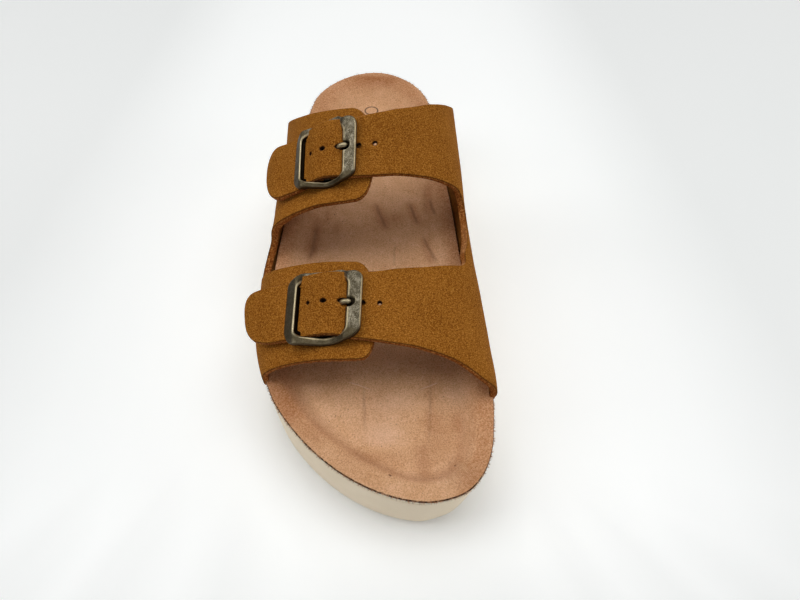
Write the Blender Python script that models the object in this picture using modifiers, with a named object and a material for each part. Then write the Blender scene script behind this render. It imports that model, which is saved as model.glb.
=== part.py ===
"""Platform sandal for the right foot: two buckled suede straps over a contoured footbed
on a thick moulded sole.

Sizes are in millimetres in the tables and are turned into metres when a mesh is made.
"along" runs from the heel (0) to the toe, lateral is the outer side (negative), medial the
inner side (positive). "across" runs over the instep: -1 at the lateral edge of the bed,
0 on the ridge and 1 at the medial edge.
"""
import bpy
import bmesh
import numpy as np

MM = 0.001
LENGTH = 267.0
CENTRE_X = -4.6
BED_GAP = 0.5

SOLE_DRAFT = 2.4
SOLE_FOOT_RADIUS = 2.0
TOE_SPRING = 3.0
TOE_SPRING_FROM = 226.0
ARCH_LIFT = 2.5
ARCH_FROM = 92.0
ARCH_TO = 148.0
SOLE_EDGE_ROUND = 0.6
SOLE_FLOOR_RING = 12.0

BED_THICKNESS = 3.0
BED_EDGE_ROUND = 0.9
DOME_RISE = 2.2
DOME_ALONG = 160.0
DOME_LENGTH = 20.0
DOME_WIDTH = 16.0
TOE_BAR_RISE = 1.5
TOE_BAR_ALONG = 208.0
TOE_BAR_LENGTH = 15.0
TOE_BAR_WIDTH = 30.0

LEATHER = 2.8
LEATHER_SEAT = 1.8
TUCK = 6.5
TUCK_GAP = 0.5
RIM_ACROSS = 0.92
LEDGE = 9.0
LEDGE_STEP = 0.4
SEAT_MARGIN = 2.0
FOOT_MIDDLE = 30.0

STRAP_COLUMNS = 6
STATIONS = 34

BUCKLE_ALONG_STRAP = 30.0
BUCKLE_ACROSS_STRAP = 35.5
BUCKLE_END_BAR = 5.2
BUCKLE_SIDE_BAR = 3.0
BUCKLE_THICKNESS = 2.4
BUCKLE_CORNER = 4.5
BUCKLE_BEVEL = 0.7
CENTRE_BAR_WIDTH = 3.2
CENTRE_BAR_THICKNESS = 1.2
CENTRE_BAR_BASE = 3.1
CENTRE_BAR_RISE = 0.9
CENTRE_BAR_RAMP = 3.0
HOLE_RADIUS = 1.1
HOLE_PITCH = 7.6
HOLE_CUT = (0.5, 14.0)
HOLE_SIDES = 10
PRONG_HOLE = 7.6
PRONG_CLEARANCE = 0.35


class Table:
    """Rows of named columns, read as smooth curves of the first column without overshoot."""

    def __init__(self, names, rows):
        self.names = names.split()
        self.rows = np.array(sorted(rows), dtype=float)

    def column(self, name):
        return self.rows[:, self.names.index(name)]

    def at(self, name, where):
        xs = self.rows[:, 0]
        ys = self.column(name)
        step = np.diff(xs)
        slope = np.diff(ys) / step
        tangent = np.zeros(len(xs))
        tangent[0] = slope[0]
        tangent[-1] = slope[-1]
        same = slope[:-1] * slope[1:] > 0
        mean = 2 * slope[:-1] * slope[1:] / np.where(same, slope[:-1] + slope[1:], 1.0)
        tangent[1:-1] = np.where(same, mean, 0.0)
        where = np.clip(np.asarray(where, dtype=float), xs[0], xs[-1])
        i = np.clip(np.searchsorted(xs, where) - 1, 0, len(step) - 1)
        t = (where - xs[i]) / step[i]
        start = ys[i] * (2 * t**3 - 3 * t**2 + 1) + step[i] * tangent[i] * (t**3 - 2 * t**2 + t)
        end = ys[i + 1] * (3 * t**2 - 2 * t**3) + step[i] * tangent[i + 1] * (t**3 - t**2)
        return start + end


OUTLINE = Table("along lateral medial", (
    (0.0, 0.0, 0.0),
    (1.2, -9.0, 7.0),
    (5.5, -18.6, 15.0),
    (12.0, -26.6, 22.2),
    (22.0, -34.0, 28.6),
    (36.0, -38.1, 32.6),
    (60.0, -41.0, 35.4),
    (90.0, -44.2, 38.4),
    (120.0, -47.4, 41.0),
    (150.0, -49.6, 42.6),
    (180.0, -50.4, 44.8),
    (204.0, -49.8, 47.0),
    (222.0, -45.2, 48.4),
    (236.0, -36.1, 47.2),
    (248.0, -24.4, 44.8),
    (257.0, -12.2, 41.0),
    (263.0, 0.0, 35.4),
    (266.2, 11.2, 26.4),
    (267.0, 18.2, 18.2),
))

BED = Table("along lateral_rim medial_rim depth shoulder slope", (
    (0.0, 51.0, 51.0, 9.5, 2.0, 18.0),
    (45.0, 49.8, 50.4, 11.0, 2.0, 19.0),
    (80.0, 47.8, 49.8, 9.0, 2.0, 20.0),
    (110.0, 45.8, 48.4, 7.0, 2.0, 20.0),
    (150.0, 42.8, 44.6, 5.5, 2.0, 17.0),
    (190.0, 39.2, 39.6, 5.5, 3.0, 14.0),
    (220.0, 36.5, 36.5, 5.0, 5.5, 10.0),
    (250.0, 34.2, 34.2, 4.2, 7.0, 8.0),
    (267.0, 33.5, 33.5, 4.0, 7.0, 8.0),
))

# Rings of bed and sole: distances in from the edge, then shares of the way left to the spine.
TUCK_MIDDLE = LEATHER_SEAT + TUCK / 2
BED_INNER_RINGS = (14.0, 20.0)
BED_TOP_RINGS = (4.5, 7.0, 9.5, 12.0, 15.0, 20.0)
BED_SHARES = (0.35, 0.7, 0.93)
FLOOR_SHARES = (0.5, 0.93)

# Side of the sole, from the rounded foot upwards.
SOLE_SIDE = Table("rise inset", (
    (SOLE_FOOT_RADIUS, SOLE_DRAFT),
    (10.0, 1.2),
    (20.0, 0.3),
))

# Place on the centre line that the rings of bed and sole are drawn in towards.
SPINE = Table("along target", (
    (0.0, 34.0),
    (40.0, 54.0),
    (80.0, 86.0),
    (180.0, 179.0),
    (225.0, 213.0),
    (267.0, 229.0),
))

LAST_COLUMNS = (
    "along ridge_x ridge_z lateral_wall medial_wall "
    "lateral_bulge medial_bulge lateral_power medial_power"
)
LAST = Table(LAST_COLUMNS, (
    (40.0, 5.0, 144.0, 14.0, 16.0, 4.4, 4.6, 1.55, 2.1),
    (70.0, 5.0, 127.0, 14.0, 16.0, 3.2, 3.4, 1.60, 2.1),
    (112.0, 4.0, 99.6, 12.0, 14.0, 0.0, 1.2, 1.65, 2.1),
    (139.0, 3.0, 82.0, 10.0, 11.0, -1.8, -0.4, 1.75, 2.1),
    (160.0, 2.5, 74.0, 8.0, 9.0, -2.0, -1.2, 1.85, 2.1),
    (181.0, 2.5, 67.3, 6.0, 6.0, -0.4, -1.2, 2.00, 2.1),
    (216.0, 3.0, 59.1, 3.0, 3.0, 0.8, -0.2, 2.10, 2.1),
    (240.0, 4.0, 54.0, 2.0, 2.0, 0.0, 0.0, 2.10, 2.1),
))

FRONT_STRAP = Table("across rear front", (
    (1.00, 168.0, 225.0),
    (0.80, 169.0, 228.0),
    (0.65, 169.5, 227.5),
    (0.50, 172.5, 222.6),
    (0.30, 177.0, 217.4),
    (0.12, 179.8, 214.0),
    (-0.06, 181.0, 211.4),
    (-0.20, 181.0, 208.6),
    (-0.36, 180.8, 207.6),
    (-0.60, 179.8, 206.0),
    (-0.88, 176.0, 202.0),
))

REAR_STRAP = Table("across rear front", (
    (1.00, 72.0, 132.0),
    (0.80, 77.0, 131.0),
    (0.60, 85.5, 133.0),
    (0.45, 96.0, 135.5),
    (0.30, 104.2, 136.5),
    (0.12, 110.0, 137.5),
    (-0.05, 112.8, 137.8),
    (-0.20, 114.0, 136.7),
    (-0.35, 113.0, 135.5),
    (-0.49, 110.5, 133.0),
    (-0.61, 106.6, 129.6),
    (-0.82, 99.0, 122.0),
))

FRONT_TAB = Table("across rear front", (
    (-1.00, 168.0, 214.0),
    (-0.78, 168.0, 218.0),
    (-0.60, 171.0, 217.8),
    (-0.48, 173.0, 217.3),
    (-0.30, 174.6, 215.8),
    (-0.16, 175.3, 214.3),
    (-0.03, 176.0, 212.4),
))

REAR_TAB = Table("across rear front", (
    (-1.00, 72.0, 140.0),
    (-0.80, 77.0, 141.5),
    (-0.65, 84.0, 142.5),
    (-0.50, 93.5, 143.0),
    (-0.33, 103.5, 144.0),
    (-0.18, 108.5, 144.5),
    (-0.03, 112.0, 143.5),
))

# Height of the strap's underside over the bare instep, by distance from the buckle's middle.
STRAP_LIFT = Table("reach height", (
    (60.0, 0.0),
    (42.0, 0.4),
    (27.0, 3.2),
    (9.5, 3.2),
    (7.0, 4.1),
    (4.0, 5.3),
    (0.0, 5.8),
    (-4.0, 5.2),
    (-9.0, 3.8),
    (-16.0, 3.6),
    (-22.0, 4.2),
    (-28.0, 5.8),
    (-36.0, 8.6),
))

# Height of the frame's underside over the bare instep.
FRAME_LIFT = Table("reach height", (
    (-15.0, 7.2),
    (-10.0, 7.0),
    (0.0, 3.5),
    (9.5, 6.8),
    (15.0, 6.8),
))

PRONG = Table("reach height half_width half_height", (
    (-2.7, 3.7, 1.5, 0.35),
    (-2.1, 4.7, 1.5, 0.35),
    (0.0, 4.95, 1.5, 0.35),
    (2.2, 4.85, 1.4, 0.40),
    (4.0, 4.3, 1.2, 0.60),
    (5.6, 4.4, 1.15, 0.80),
    (6.6, 5.6, 1.15, 1.05),
    (7.1, 7.2, 1.15, 1.15),
    (7.7, 8.9, 1.15, 1.15),
    (8.9, 10.5, 1.15, 1.15),
    (11.4, 10.8, 1.15, 1.15),
    (13.2, 10.6, 0.8, 0.80),
))

FRONT_BUCKLE = {"along": 194.4, "across": -0.368, "slope": 0.970, "slant": 0.10}
REAR_BUCKLE = {"along": 124.5, "across": -0.315, "slope": 0.840, "slant": 0.14}

MEDIAL_OPENING = {"bottom": 0.73, "span": 0.17, "middle": 150.0, "power": 2.3}
LATERAL_OPENING = {"bottom": -0.82, "span": 0.16, "middle": 156.0, "power": 2.5}
FRONT_TIP = {"end": -0.85, "span": 0.19, "power": 2.1}
REAR_TIP = {"end": -0.76, "span": 0.16, "power": 2.1}
TAB_END = {"end": -0.035, "span": 0.10, "power": 3.0}


def smooth_step(value):
    value = np.clip(value, 0.0, 1.0)
    return value * value * (3 - 2 * value)


def placed(points):
    """Shoe sizes (across, along, up) in millimetres to the part's own frame in metres."""
    points = np.asarray(points, dtype=float)
    x = points[..., 0] - CENTRE_X
    y = LENGTH / 2 - points[..., 1]
    return np.stack([x, y, points[..., 2]], axis=-1) * MM


def outline_sides(samples=60):
    """Both sides of the plan outline as fine smooth lines from the heel to the toe."""
    along = OUTLINE.column("along")
    lateral = np.column_stack([OUTLINE.column("lateral"), along])
    medial = np.column_stack([OUTLINE.column("medial"), along])
    loop = np.vstack([lateral, medial[-2:0:-1]])
    before = np.roll(loop, 1, axis=0)
    after = np.roll(loop, -1, axis=0)
    chord = np.linalg.norm(after - loop, axis=1)[:, None]
    chord_before = np.roll(chord, 1, axis=0)
    arriving = (loop - before) / chord_before
    leaving = (after - loop) / chord
    tangent = (arriving * chord + leaving * chord_before) / (chord + chord_before)
    t = np.linspace(0, 1, samples, endpoint=False)[None, :, None]
    a = loop[:, None, :]
    b = after[:, None, :]
    ta = (tangent * chord)[:, None, :]
    tb = (np.roll(tangent, -1, axis=0) * chord)[:, None, :]
    start = a * (2 * t**3 - 3 * t**2 + 1) + ta * (t**3 - 2 * t**2 + t)
    end = b * (3 * t**2 - 2 * t**3) + tb * (t**3 - t**2)
    fine = (start + end).reshape(-1, 2)
    turn = (len(along) - 1) * samples
    return fine[:turn + 1], np.vstack([fine[turn:], fine[:1]])[::-1]


LATERAL_SIDE, MEDIAL_SIDE = outline_sides()


def half_outline(along, side):
    line = LATERAL_SIDE if side < 0 else MEDIAL_SIDE
    return np.interp(along, line[:, 1], line[:, 0])


def rim_height(along, side):
    return BED.at("lateral_rim" if side < 0 else "medial_rim", along)


def run_length(line):
    """Distance along a line of points at each of them."""
    return np.concatenate([[0], np.cumsum(np.linalg.norm(np.diff(line, axis=0), axis=1))])


def leather_rear():
    return REAR_STRAP.at("rear", 1.0)


def leather_front(side):
    strap = FRONT_TAB if side < 0 else FRONT_STRAP
    return strap.at("front", side * RIM_ACROSS)


def stations():
    """Fractions of each side's length, with extra ones at the ends of the leather."""
    even = np.linspace(0, 1, STATIONS + 1)
    marks = []
    rear = leather_rear()
    for line, side in ((LATERAL_SIDE, -1), (MEDIAL_SIDE, 1)):
        length = run_length(line)
        front = leather_front(side)
        for edge in (rear - 3.0, rear - 1.0, front + 1.0, front + 3.0):
            marks.append(np.interp(edge, line[:, 1], length) / length[-1])
    kept = [mark for mark in even if min(abs(mark - other) for other in marks) > 0.006]
    return np.array(sorted(kept + marks))


def plan_loop(fractions):
    """Closed loop of outline points: heel, lateral side, toe, medial side back to the heel."""
    sides = []
    for line in (LATERAL_SIDE, MEDIAL_SIDE):
        length = run_length(line)
        x = np.interp(fractions * length[-1], length, line[:, 0])
        y = np.interp(fractions * length[-1], length, line[:, 1])
        sides.append(np.column_stack([x, y]))
    return np.vstack([sides[0], sides[1][-2:0:-1]])


def spine(loop):
    """Point of the centre line that each outline point is drawn in towards."""
    along = SPINE.at("target", loop[:, 1])
    x = (half_outline(along, -1) + half_outline(along, 1)) / 2
    return np.column_stack([x, along])


def drawn_in(loop, inset):
    """The loop moved towards the spine by a distance at each of its points."""
    middle = spine(loop)
    reach = np.linalg.norm(middle - loop, axis=1)
    share = inset / reach
    return loop + (middle - loop) * share[:, None]


def side_share(points):
    """0 at the lateral edge and 1 at the medial edge, for heights that differ by side."""
    low = half_outline(points[:, 1], -1)
    high = half_outline(points[:, 1], 1)
    return np.clip((points[:, 0] - low) / np.maximum(high - low, 1.0), 0.0, 1.0)


def leather_zone(points):
    """1 where the straps tuck in under the bed's edge, 0 in front of and behind them."""
    lateral = points[:, 0] < (half_outline(points[:, 1], -1) + half_outline(points[:, 1], 1)) / 2
    front = np.where(lateral, leather_front(-1), leather_front(1))
    ahead = np.clip(front + SEAT_MARGIN - points[:, 1], 0, 1)
    behind = np.clip(points[:, 1] - leather_rear() + SEAT_MARGIN, 0, 1)
    return ahead * behind


def bed_height(points, inset):
    """Top of the footbed: rim, then a soft slope down to the bed, with dome and toe bar."""
    along = points[:, 1]
    share = smooth_step(side_share(points))
    rim = rim_height(along, -1) * (1 - share) + rim_height(along, 1) * share
    sunk = smooth_step((inset - BED.at("shoulder", along)) / BED.at("slope", along))
    middle = (half_outline(along, -1) + half_outline(along, 1)) / 2
    off = points[:, 0] - middle
    dome_reach = ((along - DOME_ALONG) / DOME_LENGTH)**2 + (off / DOME_WIDTH)**2
    bar_reach = ((along - TOE_BAR_ALONG) / TOE_BAR_LENGTH)**2 + (off / TOE_BAR_WIDTH)**4
    dome = DOME_RISE * np.exp(-dome_reach)
    bar = TOE_BAR_RISE * np.exp(-bar_reach)
    return rim + sunk * (dome + bar - BED.at("depth", along))


def floor_height(along):
    """Underside of the sole: flat heel and forefoot, lifted arch and toe."""
    arch = np.sin(np.pi * np.clip((along - ARCH_FROM) / (ARCH_TO - ARCH_FROM), 0, 1))**2
    toe = np.clip((along - TOE_SPRING_FROM) / (LENGTH - TOE_SPRING_FROM), 0, 1)**2
    return ARCH_LIFT * arch + TOE_SPRING * toe


def ring_insets(loop, fixed, shares):
    """Inset of every ring at every outline point: fixed distances, then shares to the spine."""
    reach = np.linalg.norm(spine(loop) - loop, axis=1)
    rings = [np.full(len(loop), float(distance)) for distance in fixed]
    rings += [fixed[-1] + (reach - fixed[-1]) * share for share in shares]
    return rings


def ring(loop, inset, height):
    return np.column_stack([drawn_in(loop, inset), height])


def solid_from_rings(name, rings):
    """Closed solid from stacked loops, with both end loops zipped shut across the shoe."""
    count = len(rings[0])
    vertices = placed(np.vstack(rings))
    faces = []
    for level in range(len(rings) - 1):
        base = level * count
        for j in range(count):
            k = (j + 1) % count
            faces.append((base + j, base + k, base + count + k, base + count + j))
    last = (len(rings) - 1) * count
    for j in range(count // 2):
        low = [j, j + 1, (count - j - 1) % count, (count - j) % count]
        corners = list(dict.fromkeys(low))
        faces.append(tuple(reversed(corners)))
        faces.append(tuple(last + corner for corner in corners))
    return mesh_object(name, vertices, faces)


def mesh_object(name, vertices, faces):
    mesh = bpy.data.meshes.new(name)
    mesh.from_pydata([tuple(vertex) for vertex in vertices], [], faces)
    shape = bmesh.new()
    shape.from_mesh(mesh)
    bmesh.ops.remove_doubles(shape, verts=shape.verts, dist=0.000001)
    bmesh.ops.recalc_face_normals(shape, faces=shape.faces)
    shape.to_mesh(mesh)
    shape.free()
    return bpy.data.objects.new(name, mesh)


def make_sole():
    loop = plan_loop(stations())
    rings = []
    flat = (SOLE_DRAFT + SOLE_FOOT_RADIUS, SOLE_FLOOR_RING)
    for inset in reversed(ring_insets(loop, flat, FLOOR_SHARES)):
        at = drawn_in(loop, inset)
        rings.append(ring(loop, inset, floor_height(at[:, 1])))
    top_edge = bed_height(loop, np.zeros(len(loop))) - BED_THICKNESS - BED_GAP
    seat = leather_zone(loop) * (LEATHER + 2 * TUCK_GAP - BED_GAP)
    foot = floor_height(loop[:, 1])
    for rise, inset in SOLE_SIDE.rows:
        rings.append(ring(loop, np.full(len(loop), inset), foot + rise))
    rings.append(ring(loop, np.zeros(len(loop)), top_edge - seat - SOLE_EDGE_ROUND))
    rings.append(ring(loop, np.full(len(loop), SOLE_EDGE_ROUND), top_edge - seat))
    for inset in ring_insets(loop, (TUCK_MIDDLE, LEDGE), ()):
        at = drawn_in(loop, inset)
        rings.append(ring(loop, inset, bed_height(at, inset) - BED_THICKNESS - BED_GAP - seat))
    for inset in ring_insets(loop, (LEDGE + LEDGE_STEP, *BED_INNER_RINGS), BED_SHARES):
        at = drawn_in(loop, inset)
        rings.append(ring(loop, inset, bed_height(at, inset) - BED_THICKNESS - BED_GAP))
    return solid_from_rings("platform_sole", rings)


def make_footbed():
    loop = plan_loop(stations())
    seat = (LEATHER_SEAT + TUCK_GAP) * leather_zone(loop)
    under = (0.0, TUCK_MIDDLE, LEDGE, *BED_INNER_RINGS)
    rings = []
    for inset in reversed(ring_insets(loop, under, BED_SHARES)):
        inset = np.maximum(inset, seat)
        at = drawn_in(loop, inset)
        rings.append(ring(loop, inset, bed_height(at, inset) - BED_THICKNESS))
    rings.append(ring(loop, seat, bed_height(loop, 0 * seat) - BED_EDGE_ROUND))
    for inset in ring_insets(loop, (BED_EDGE_ROUND, *BED_TOP_RINGS), BED_SHARES):
        inset = np.maximum(inset, seat + BED_EDGE_ROUND)
        at = drawn_in(loop, inset)
        rings.append(ring(loop, inset, bed_height(at, inset)))
    return solid_from_rings("footbed", rings)


def wall_lines(along, side, count=48):
    """Inner line of the leather on one side of each section, from the bed's edge to the ridge."""
    name = "lateral" if side < 0 else "medial"
    edge = half_outline(along, side) - side * LEATHER_SEAT
    foot = rim_height(along, side) - BED_THICKNESS - TUCK_GAP
    bulge = side * LAST.at(name + "_bulge", along)
    shoulder = rim_height(along, side) + LAST.at(name + "_wall", along)
    power = 2.0 / LAST.at(name + "_power", along)[:, None]
    ridge_x = LAST.at("ridge_x", along)[:, None]
    ridge_z = LAST.at("ridge_z", along)[:, None]
    rise = np.linspace(0, 1, count // 4, endpoint=False)[None, :]
    rim = ((rim_height(along, side) - foot) / (shoulder - foot))[:, None]
    lean = np.clip((rise - rim) / (1 - rim), 0, 1)
    wall_x = edge[:, None] + bulge[:, None] * (1 - (1 - lean)**2)
    wall_z = foot[:, None] + (shoulder - foot)[:, None] * rise
    angle = np.linspace(0, np.pi / 2, count - count // 4)[None, :]
    arch_x = ridge_x + ((edge + bulge)[:, None] - ridge_x) * np.clip(np.cos(angle), 0, 1)**power
    arch_z = shoulder[:, None] + (ridge_z - shoulder[:, None]) * np.clip(np.sin(angle), 0, 1)**power
    return np.stack([np.hstack([wall_x, arch_x]), np.hstack([wall_z, arch_z])], axis=-1)


def half_girth(along, side):
    line = wall_lines(np.atleast_1d(np.asarray(along, dtype=float)), side)
    return np.linalg.norm(np.diff(line, axis=1), axis=2).sum(axis=1)


def instep(along, across):
    """Bare instep surface, where the underside of the leather lies."""
    along = np.asarray(along, dtype=float)
    across = np.asarray(across, dtype=float)
    result = np.zeros((len(along), 3))
    result[:, 1] = along
    for side in (-1, 1):
        chosen = np.nonzero((across < 0) == (side < 0))[0]
        if len(chosen) == 0:
            continue
        line = wall_lines(along[chosen], side)
        run = np.linalg.norm(np.diff(line, axis=1), axis=2)
        run = np.concatenate([np.zeros((len(chosen), 1)), np.cumsum(run, axis=1)], axis=1)
        wanted = (1 - np.abs(across[chosen])) * run[:, -1]
        i = np.clip((run < wanted[:, None]).sum(axis=1) - 1, 0, run.shape[1] - 2)
        row = np.arange(len(chosen))
        t = (wanted - run[row, i]) / (run[row, i + 1] - run[row, i])
        point = line[row, i] * (1 - t)[:, None] + line[row, i + 1] * t[:, None]
        result[chosen, 0] = point[:, 0]
        result[chosen, 2] = point[:, 1]
    return result


def raised(along, across, height):
    """Point at a height over the instep, measured square to it."""
    along = np.asarray(along, dtype=float)
    across = np.asarray(across, dtype=float)
    reach = 0.02
    ahead = instep(along + 1.5, across) - instep(along - 1.5, across)
    over = instep(along, np.clip(across + reach, -1, 1)) - instep(along, np.clip(across - reach, -1, 1))
    normal = np.cross(ahead, over)
    normal /= np.linalg.norm(normal, axis=1)[:, None]
    middle = instep(along, 0 * across)
    inside = middle * [1, 1, 0] + [0, 0, FOOT_MIDDLE]
    here = instep(along, across)
    flip = np.sign(np.einsum("ij,ij->i", normal, here - inside))
    return here + normal * (flip * height)[:, None]


def tucked(along, side, depth):
    """Margin of the leather that lies under the edge of the footbed."""
    along = np.asarray(along, dtype=float)
    inset = np.full(len(along), LEATHER_SEAT + depth)
    edge = np.column_stack([half_outline(along, side), along])
    point = drawn_in(edge, inset)
    return np.column_stack([point, bed_height(point, inset) - BED_THICKNESS - TUCK_GAP])


def rounded(share, power):
    """Width left at a share of the way round a soft end."""
    return (1 - np.clip(share, 0, 1)**power)**(1 / power)


def strap_edges(strap, across, opening, inner, tip):
    """Rear and front edge of a strap at one place, with its rounded opening and end."""
    rear = float(strap.at("rear", across))
    front = float(strap.at("front", across))
    towards = np.sign(opening["bottom"])
    past = towards * (opening["bottom"] - across) / opening["span"]
    if past < 1:
        grown = rounded(1 - max(past, 0.0), opening["power"]) if past > 0 else 0.0
        if inner == "front":
            front = opening["middle"] + grown * (front - opening["middle"])
        else:
            rear = opening["middle"] + grown * (rear - opening["middle"])
    left = abs(across - tip["end"]) / tip["span"]
    if left < 1:
        middle = (rear + front) / 2
        kept = rounded(1 - left, tip["power"])
        rear = middle + kept * (rear - middle)
        front = middle + kept * (front - middle)
    return rear, front


def strap_rows(opening, tip, runs):
    """Places across the instep where a strap has a row: wall, opening corner, run and tip."""
    side = np.sign(opening["bottom"])
    wall = np.linspace(side * 1.0, opening["bottom"], 4)
    corner = opening["bottom"] - side * opening["span"] * (1 - np.cos(np.linspace(0.25, np.pi / 2, 7)))
    direction = np.sign(tip["end"] - corner[-1])
    start = tip["end"] - direction * tip["span"]
    run = np.linspace(corner[-1], start, runs + 1)[1:]
    end = tip["end"] - direction * tip["span"] * (1 - np.sin(np.linspace(0, 1.42, 7)))[1:]
    return np.concatenate([wall, corner, run, end])


def lift_at(along, across, buckle):
    """Height of a strap's underside where it climbs over the tab and through the buckle."""
    centre = buckle["across"] * half_girth(buckle["along"], -1)[0]
    girth = np.where(across < 0, half_girth(along, -1), half_girth(along, 1))
    return STRAP_LIFT.at("height", across * girth - centre)


def leather_sheet(name, rear_strap, front_strap, opening, tips, runs, buckles):
    """One quarter of the upper: two straps that share a wall below their cut-out."""
    side = int(np.sign(opening["bottom"]))
    vertices = []
    faces = []
    share = np.linspace(0, 1, STRAP_COLUMNS + 1)
    straps = (rear_strap, front_strap)
    for strap, inner, tip, run, buckle in zip(straps, ("front", "rear"), tips, runs, buckles):
        rows = []
        foot_rear, foot_front = strap_edges(strap, side * 1.0, opening, inner, tip)
        foot = foot_rear + (foot_front - foot_rear) * share
        for depth in (TUCK, TUCK / 2, 0.5):
            rows.append(tucked(foot, side, depth))
        for across in strap_rows(opening, tip, run):
            rear, front = strap_edges(strap, across, opening, inner, tip)
            along = rear + (front - rear) * share
            place = np.full(len(along), across)
            lift = lift_at(along, place, buckle) if buckle else 0.0 * along
            rows.append(raised(along, place, lift))
        base = len(vertices)
        width = STRAP_COLUMNS + 1
        vertices += [point for row in rows for point in row]
        for i in range(len(rows) - 1):
            for j in range(STRAP_COLUMNS):
                a = base + i * width + j
                faces.append((a, a + 1, a + width + 1, a + width))
    sheet = mesh_object(name, placed(np.array(vertices)), faces)
    turn_outwards(sheet)
    wall = sheet.modifiers.new("leather", "SOLIDIFY")
    wall.thickness = LEATHER * MM
    wall.offset = 1.0
    wall.use_even_offset = False
    return sheet


def turn_outwards(sheet):
    """Faces of an open sheet look away from the foot."""
    mesh = sheet.data
    over_foot = 2 * FOOT_MIDDLE * MM
    upward = sum(face.normal.z * face.area for face in mesh.polygons if face.center.z > over_foot)
    if upward < 0:
        mesh.flip_normals()


def on_strap(buckle, reach, along, height):
    """Point of a buckle: reach along the strap, distance across it, height over the instep."""
    reach = np.asarray(reach, dtype=float)
    off = np.asarray(along, dtype=float)
    place = buckle["along"] + off * buckle["slope"] + buckle["slant"] * reach
    centre = buckle["across"] * half_girth(buckle["along"], -1)[0]
    return raised(place, (centre + reach) / half_girth(place, -1), np.asarray(height, dtype=float))


def rounded_frame(half_reach, half_along, corner, per_corner=6):
    """Rounded rectangle as a loop of (reach, along) points with extra points on its sides."""
    points = []
    for quarter in range(4):
        angle = np.pi / 2 * quarter + np.linspace(0, np.pi / 2, per_corner)
        cx = (half_reach - corner) * (1 if quarter in (0, 3) else -1)
        cy = (half_along - corner) * (1 if quarter in (0, 1) else -1)
        points += [(cx + corner * np.cos(a), cy + corner * np.sin(a)) for a in angle]
        if quarter in (0, 2):
            sign = 1 if quarter == 0 else -1
            for share in (0.6, 0.2, -0.2, -0.6):
                points.append((sign * share * (half_reach - corner), sign * half_along))
        else:
            sign = -1 if quarter == 1 else 1
            for share in (0.5, -0.5):
                points.append((sign * half_reach, -sign * share * (half_along - corner)))
    return np.array(points)


def make_buckle(name, buckle):
    half_reach = BUCKLE_ALONG_STRAP / 2
    half_along = BUCKLE_ACROSS_STRAP / 2
    inner_corner = BUCKLE_CORNER - BUCKLE_SIDE_BAR
    outer = (half_reach, half_along, BUCKLE_CORNER)
    inner = (half_reach - BUCKLE_END_BAR, half_along - BUCKLE_SIDE_BAR, inner_corner)
    profile = (
        (outer, 0.0, 0.0),
        (outer, 0.0, BUCKLE_THICKNESS - BUCKLE_BEVEL),
        (outer, -BUCKLE_BEVEL, BUCKLE_THICKNESS),
        (inner, BUCKLE_BEVEL, BUCKLE_THICKNESS),
        (inner, 0.0, BUCKLE_THICKNESS - BUCKLE_BEVEL),
        (inner, 0.0, 0.0),
    )
    loops = []
    for (reach, along, corner), grow, rise in profile:
        loop = rounded_frame(reach + grow, along + grow, corner + grow)
        height = FRAME_LIFT.at("height", loop[:, 0]) + rise
        loops.append(on_strap(buckle, loop[:, 0], loop[:, 1], height))
    count = len(loops[0])
    faces = []
    for level in range(len(loops)):
        following = (level + 1) % len(loops)
        for j in range(count):
            k = (j + 1) % count
            a = level * count
            b = following * count
            faces.append((a + j, a + k, b + k, b + j))
    frame = mesh_object(name, placed(np.vstack(loops)), faces)
    bar = make_centre_bar(name + "_bar", buckle)
    join(frame, bar, "UNION")
    return frame, bar


def make_centre_bar(name, buckle):
    half = BUCKLE_ACROSS_STRAP / 2 - BUCKLE_SIDE_BAR / 2
    top = CENTRE_BAR_BASE + CENTRE_BAR_THICKNESS
    corners = ((-1, CENTRE_BAR_BASE), (1, CENTRE_BAR_BASE), (1, top), (-1, top))
    loops = []
    for along in np.linspace(-half, half, 9):
        rise = CENTRE_BAR_RISE * smooth_step((abs(along) - half) / CENTRE_BAR_RAMP + 1)
        reach = [side * CENTRE_BAR_WIDTH / 2 for side, _ in corners]
        height = [level + rise for _, level in corners]
        loops.append(on_strap(buckle, reach, [along] * len(corners), height))
    return tube(name, loops)


def tube(name, loops):
    """Solid rod through a run of equal loops, closed at both ends."""
    count = len(loops[0])
    faces = [tuple(range(count)), tuple((len(loops) - 1) * count + j for j in range(count))]
    for level in range(len(loops) - 1):
        base = level * count
        for j in range(count):
            k = (j + 1) % count
            faces.append((base + j, base + k, base + count + k, base + count + j))
    return mesh_object(name, placed(np.vstack(loops)), faces)


def prong_loops(buckle, grow, first, last):
    """Flattened rings along the prong's path, from its eye to its tip."""
    rows = PRONG.rows[first:last]
    path = rows[:, :2]
    heading = np.gradient(path, axis=0)
    heading /= np.linalg.norm(heading, axis=1)[:, None]
    loops = []
    for (reach, height, half_width, half_height), (forward, upward) in zip(rows, heading):
        angle = np.linspace(0, 2 * np.pi, 8, endpoint=False)
        up = (half_height + grow) * np.sin(angle)
        loops.append(on_strap(
            buckle,
            reach - upward * up,
            (half_width + grow) * np.cos(angle),
            height + forward * up,
        ))
    return loops


def make_hole(name, buckle, reach):
    loops = []
    for height in HOLE_CUT:
        angle = np.linspace(0, 2 * np.pi, HOLE_SIDES, endpoint=False)
        loops.append(on_strap(
            buckle,
            reach + HOLE_RADIUS * np.cos(angle),
            HOLE_RADIUS * np.sin(angle),
            np.full(HOLE_SIDES, height),
        ))
    return tube(name, loops)


def join(target, tool, operation):
    step = target.modifiers.new(tool.name, "BOOLEAN")
    step.operation = operation
    step.object = tool
    step.solver = "EXACT"


def collection(name):
    group = bpy.data.collections.new(name)
    bpy.context.scene.collection.children.link(group)
    return group


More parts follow.
